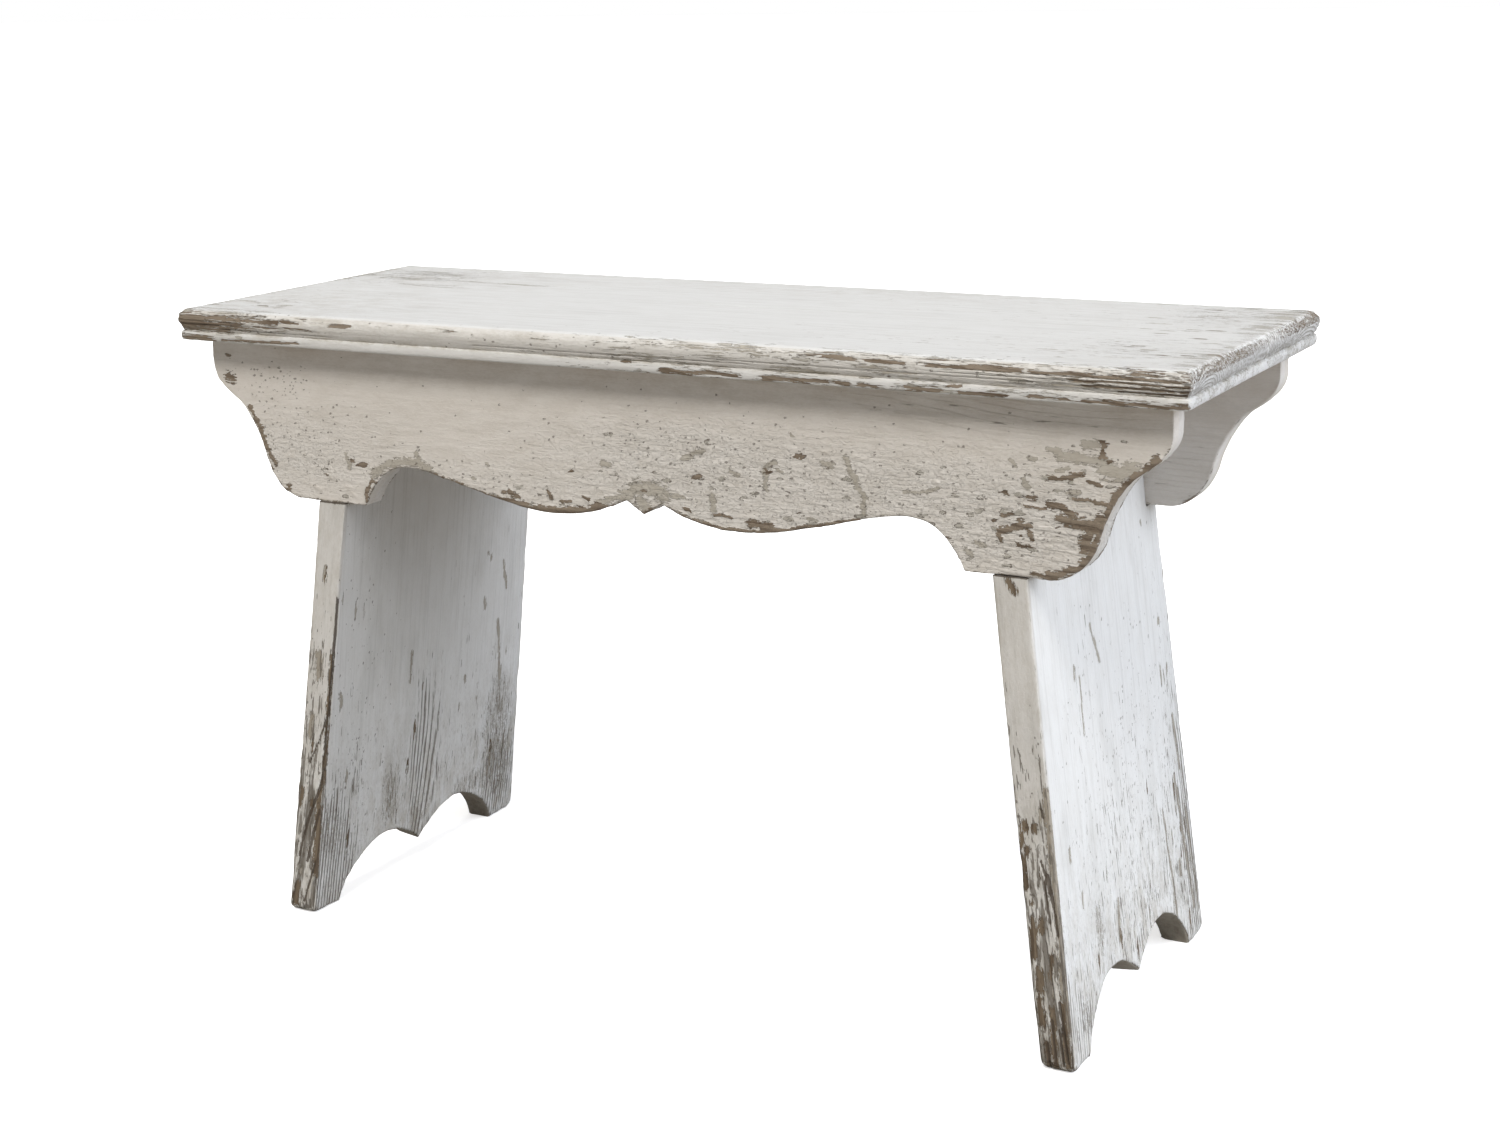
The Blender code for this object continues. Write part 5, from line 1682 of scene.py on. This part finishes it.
FRONT_PLANK_WEAR = {
    "pith": (-0.118, 0.030), "pitch": 0.0024,
    "nose": [
        (((142, 4.5), (164, 4.4)), 2.5), (((172, 4.9), (198, 5.2)), 2.5),
        (((214, 5.5), (237, 5.3)), 2.5), (((238, 5.2), (262, 4.9), (275, 5.3)), 3.7),
        (((305, 8.8), (337, 8.6), (378, 9.2)), 1.35),
        (((315, 11.6), (343, 11.5), (378, 11.9)), 1.4), (((280, 5.4), (330, 5.6), (376, 6.4)), 2.1),
        (((334, 14.1), (378, 14.6)), 1.3), (((-376, 5.5), (-364, 5.6)), 5.9),
        (((-376, 12.8), (-365, 13.7)), 5.9), (((-363, 4.8), (-329, 6.0), (-287, 5.9)), 2.9),
        (((-364, 9.9), (-320, 9.8)), 2.2), (((-364, 14.3), (-334, 14.2)), 2.2),
        (((-284, 5.0), (-266, 5.5)), 2.1), (((-240, 5.6), (-222, 5.3)), 2.1)],
    "bead": [
        (((27, 21.0), (56, 20.4), (83, 20.8)), 3.0), (((101, 20.6), (124, 20.4), (146, 20.8)), 3.2),
        (((151, 20.5), (160, 21.2)), 2.5), (((168, 20.7), (179, 21.4)), 2.5),
        (((200, 20.4), (220, 20.9)), 3.1), (((233, 21.3), (249, 21.4), (266, 21.2)), 3.1),
        (((281, 20.5), (287, 20.6)), 2.4), (((299, 21.1), (306, 21.1)), 2.4),
        (((313, 21.3), (337, 21.4), (379, 21.4)), 2.4),
        (((-341, 21.3), (-303, 20.6), (-269, 20.0)), 1.6),
        (((-374, 20.9), (-361, 20.9), (-348, 21.7)), 3.7)],
    "chipped": [(340, -60, 50, 90, 0.12), (-350, -120, 50, 30, 0.25), (200, -142, 160, 6, 0.2)],
    "nose_worn": [(362, 9.5, 30, 5.0, 0.18), (300, 8.6, 40, 3.0, 0.10), (240, 7.0, 60, 2.5, 0.16),
                  (345, 20.5, 50, 2.4, 0.55), (-370, 8, 22, 6, 0.72), (-330, 6, 50, 3.5, 0.45),
                  (-340, 13.5, 50, 2.5, 0.50), (-290, 10.5, 70, 1.6, 0.46),
                  (-365, 20.5, 26, 2.4, 0.55), (190, 4.6, 90, 1.4, 0.34), (-60, 4, 120, 1.5, 0.24),
                  (120, 20.6, 140, 1.6, 0.32)],
    "top_worn": [(379, -70, 5, 90, 0.52), (-379, -60, 5, 90, 0.40), (350, -142, 40, 3.5, 0.35)],
    "grooves": [
        (((236, 6.9), (378, 7.2)), 0.6), (((222, 9.2), (378, 9.7)), 0.6),
        (((240, 11.6), (378, 12.0)), 0.6), (((262, 13.9), (378, 14.3)), 0.6),
        (((-376, 8.4), (-330, 8.2)), 0.9), (((-376, 11.2), (-340, 11.0)), 0.9),
        (((-340, 14.0), (-240, 13.6)), 0.7), (((60, 11.0), (260, 11.4)), 0.7),
        (((-120, 12.6), (90, 12.8)), 0.6)],
    "arris": [(200, -142, 90, 10, 0.02), (350, -142, 50, 12, 0.12), (-340, -142, 60, 12, 0.3),
              (378, -60, 14, 80, 0.2)],
    "undercoat_and_shade": [(372, -80, 10, 90, 0.45), (330, -70, 60, 60, 0.14), (-375, -60, 8, 90, 0.40),
               (-330, -134, 60, 8, 0.38), (150, -142, 200, 5, 0.36)],
    "rough": [(330, -80, 80, 80, 0.35), (-330, -120, 60, 40, 0.4)],
    "pits": [(-320, -142, 60, 12, 0.30), (-100, -142, 160, 10, 0.10), (200, -142, 180, 10, 0.14),
             (-350, -70, 40, 90, 0.10)],
    "dirt_and_shade": [(340, -110, 60, 60, 0.15), (-330, -90, 120, 90, 0.45)],
    "slivers": [(330, -60, 80, 80, 0.50), (180, -80, 120, 60, 0.36), (-330, -100, 50, 60, 0.42),
                (0, -100, 300, 40, 0.12)],
    "grooved": [(350, -90, 34, 60, 0.22)],
}
REAR_PLANK_WEAR = {
    "pith": (0.105, 0.050), "pitch": 0.0029,
    "nose": [(((200, 5.0), (260, 5.2)), 3.0), (((-340, 8.0), (-280, 8.6)), 3.0),
             (((-60, 5.2), (10, 5.0)), 2.6), (((300, 9.0), (376, 9.4)), 3.4)],
    "bead": [(((-250, 20.6), (-180, 20.9)), 3.0), (((60, 20.8), (140, 20.4)), 2.8),
             (((300, 20.8), (340, 21.0)), 3.0)],
    "chipped": [(345, 80, 50, 70, 0.14), (-340, 90, 50, 40, 0.12)],
    "nose_worn": [(330, 9.0, 50, 4.0, 0.6), (-320, 8.6, 60, 3.4, 0.5), (40, 5, 160, 1.6, 0.36),
                  (-200, 20.4, 90, 2.0, 0.42), (340, 20.5, 60, 2.4, 0.5)],
    "top_worn": [(379, 96, 5, 60, 0.5), (370, 132, 12, 12, 0.42), (-379, 60, 5, 90, 0.42)],
    "grooves": [(((-376, 8.6), (-300, 8.9)), 1.0), (((240, 9.0), (376, 9.2)), 1.0),
                (((200, 12.4), (376, 12.8)), 1.0), (((-160, 11.8), (60, 12.0)), 0.7)],
    "arris": [(370, 138, 40, 14, 0.4), (-300, 140, 90, 10, 0.2), (378, 80, 14, 60, 0.35)],
    "undercoat_and_shade": [(370, 80, 12, 90, 0.50), (330, 90, 50, 50, 0.18), (352, 132, 26, 14, 0.3),
               (-275, 32, 30, 9, 0.46), (-225, 62, 55, 4, 0.44), (-320, 84, 40, 30, 0.40),
               (-373, 60, 8, 90, 0.48)],
    "rough": [(330, 90, 70, 70, 0.5), (-310, 80, 60, 50, 0.4)],
    "pits": [(-200, 142, 160, 10, 0.2), (250, 142, 120, 10, 0.2), (-340, 70, 40, 60, 0.12)],
    "dirt_and_shade": [(365, 110, 30, 50, 0.25), (-310, 80, 110, 70, 0.45), (60, 120, 200, 40, 0.25)],
    "slivers": [(330, 70, 80, 80, 0.50), (-310, 80, 70, 50, 0.6), (120, 130, 160, 14, 0.35),
                (180, 60, 120, 60, 0.30)],
    "grooved": [(345, 80, 40, 60, 0.35)],
}


def build_stool():
    """Dress every board of the stool, and give the screws and nails their metal."""
    seat_paint = painted_wood("seat_paint", SEAT_LOOK)
    apron_paint = painted_wood("apron_paint", APRON_LOOK)
    leg_paint = painted_wood("leg_paint", LEG_LOOK)
    cleat_wood = bare_pine("cleat_wood")
    steel = screw_steel("fastener_steel")
    seat_plank("front_seat_board", "seat_front_plank", -1, 31, FRONT_PLANK_WEAR, seat_paint)
    seat_plank("rear_seat_board", "seat_rear_plank", 1, 51, REAR_PLANK_WEAR, seat_paint)
    apron_board("front_scrolled_apron", "front_apron", -1, 71, FRONT_APRON_WEAR, apron_paint)
    apron_board("rear_scrolled_apron", "rear_apron", 1, 91, REAR_APRON_WEAR, apron_paint)
    leg_board("left_splayed_leg", "left_leg", -1, 111, LEFT_LEG_WEAR, leg_paint)
    leg_board("right_splayed_leg", "right_leg", 1, 131, RIGHT_LEG_WEAR, leg_paint)
    for end, side in (("left", -1), ("right", 1)):
        cleat = cleat_batten(
            end + "_seat_cleat", end + "_cleat", side, 151 + side, cleat_wood)
        screws = [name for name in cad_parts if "screw_" + end in name]
        bore(cleat, sorted(screws))
    for name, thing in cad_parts.items():
        if "screw" in name or "nail" in name:
            thing.data.materials.clear()
            thing.data.materials.append(steel)


# The floor, the light and the camera

# The camera, its place in metres and its turns in radians, fitted to the photograph's outlines
CAMERA_PLACE = (0.7871, -1.4639, 0.6838)
CAMERA_YAW = 0.50947
CAMERA_PITCH = 0.24121
CAMERA_ROLL = -0.01874
CAMERA_LENS = 56.886
CAMERA_SENSOR = 36
CAMERA_SHIFT = (0.0363, 0.0007)


def place_camera():
    """The photograph's view."""
    data = bpy.data.cameras.new("camera")
    data.sensor_width = CAMERA_SENSOR
    data.sensor_fit = "HORIZONTAL"
    data.lens = CAMERA_LENS
    data.shift_x, data.shift_y = CAMERA_SHIFT
    data.clip_start = 0.05
    data.clip_end = 100
    camera = bpy.data.objects.new("camera", data)
    bpy.context.scene.collection.objects.link(camera)
    forward = Vector((
        -math.sin(CAMERA_YAW) * math.cos(CAMERA_PITCH),
        math.cos(CAMERA_YAW) * math.cos(CAMERA_PITCH), -math.sin(CAMERA_PITCH)))
    level = Vector((math.cos(CAMERA_YAW), math.sin(CAMERA_YAW), 0))
    upright = level.cross(forward)
    across = level * math.cos(CAMERA_ROLL) + upright * math.sin(CAMERA_ROLL)
    up = upright * math.cos(CAMERA_ROLL) - level * math.sin(CAMERA_ROLL)
    turn = Matrix((across, up, -forward)).transposed().to_4x4()
    camera.matrix_world = Matrix.Translation(CAMERA_PLACE) @ turn
    bpy.context.scene.camera = camera


FLOOR_REACH = 40.0
FLOOR_SEEN = (0.99, 0.99, 0.99)
FLOOR_BOUNCE = (0.37, 0.355, 0.335)
FLOOR_GLOW = (0.62, 0.62, 0.62)
BLACK = (0.0, 0.0, 0.0)
WHITE = (1.0, 1.0, 1.0)
SKY_FRONT = (1.0, 0.92, 0.80)
SKY_RIGHT = (0.88, 0.97, 1.08)
SKY_STRENGTH = 0.22

# Each light: its name, where it comes from, its strength, its breadth in degrees, its colour
LIGHTS = [
    ("right_softbox", (0.85, 0.12, 0.40), 0.88, 60, (0.94, 0.98, 1.06)),
    ("front_top_softbox", (0.12, -0.59, 0.82), 0.73, 22, (1.0, 0.97, 0.92)),
    ("overhead_softbox", (0.0, 0.30, 0.95), 0.03, 80, WHITE),
]


def lay_floor():
    """A floor that the camera sees white and that bounces a warmer, darker light."""
    corners = [(-FLOOR_REACH, -FLOOR_REACH, 0), (FLOOR_REACH, -FLOOR_REACH, 0),
               (FLOOR_REACH, FLOOR_REACH, 0), (-FLOOR_REACH, FLOOR_REACH, 0)]
    mesh = bpy.data.meshes.new("floor")
    mesh.from_pydata(corners, [], [(0, 1, 2, 3)])
    floor = bpy.data.objects.new("floor", mesh)
    bpy.context.scene.collection.objects.link(floor)
    material, tree, shader = new_material("pale_floor")
    seen = put(tree, "ShaderNodeLightPath").outputs["Is Camera Ray"]
    tree.links.new(mixed(tree, seen, FLOOR_BOUNCE, FLOOR_SEEN), shader.inputs["Base Color"])
    tree.links.new(mixed(tree, seen, BLACK, FLOOR_GLOW), shader.inputs["Emission Color"])
    shader.inputs["Emission Strength"].default_value = 1.0
    shader.inputs["Roughness"].default_value = 0.95
    shader.inputs["Specular IOR Level"].default_value = 0.0
    mesh.materials.append(material)


def soft_sun(name, toward, strength, softness, colour):
    """A broad soft light that comes from far off in one direction."""
    data = bpy.data.lights.new(name, "SUN")
    data.energy = strength * math.pi
    data.angle = math.radians(softness)
    data.color = colour
    lamp = bpy.data.objects.new(name, data)
    bpy.context.scene.collection.objects.link(lamp)
    lamp.matrix_world = (-Vector(toward)).to_track_quat("-Z", "Y").to_matrix().to_4x4()


def light_studio():
    """A plain sky, warmer from the front and cooler from the right, and the soft lights."""
    world = bpy.data.worlds.new("studio")
    world.use_nodes = True
    tree = world.node_tree
    background = tree.nodes["Background"]
    around = put(tree, "ShaderNodeTexCoord").outputs["Generated"]
    way = put(tree, "ShaderNodeSeparateXYZ", {0: around}).outputs
    sky = mixed(tree, ramp(tree, way["Y"], 0.1, -0.9), WHITE, SKY_FRONT)
    sky = mixed(tree, ramp(tree, way["X"], 0.1, 0.9), sky, SKY_RIGHT)
    seen = put(tree, "ShaderNodeLightPath").outputs["Is Camera Ray"]
    tree.links.new(mixed(tree, seen, sky, WHITE), background.inputs[0])
    tree.links.new(ramp(tree, seen, 0.0, 1.0, SKY_STRENGTH, 1.0), background.inputs[1])
    bpy.context.scene.world = world
    for light in LIGHTS:
        soft_sun(*light)


build_stool()
lay_floor()
light_studio()
place_camera()
bpy.context.scene.view_settings.view_transform = "Standard"
bpy.context.scene.view_settings.look = "None"
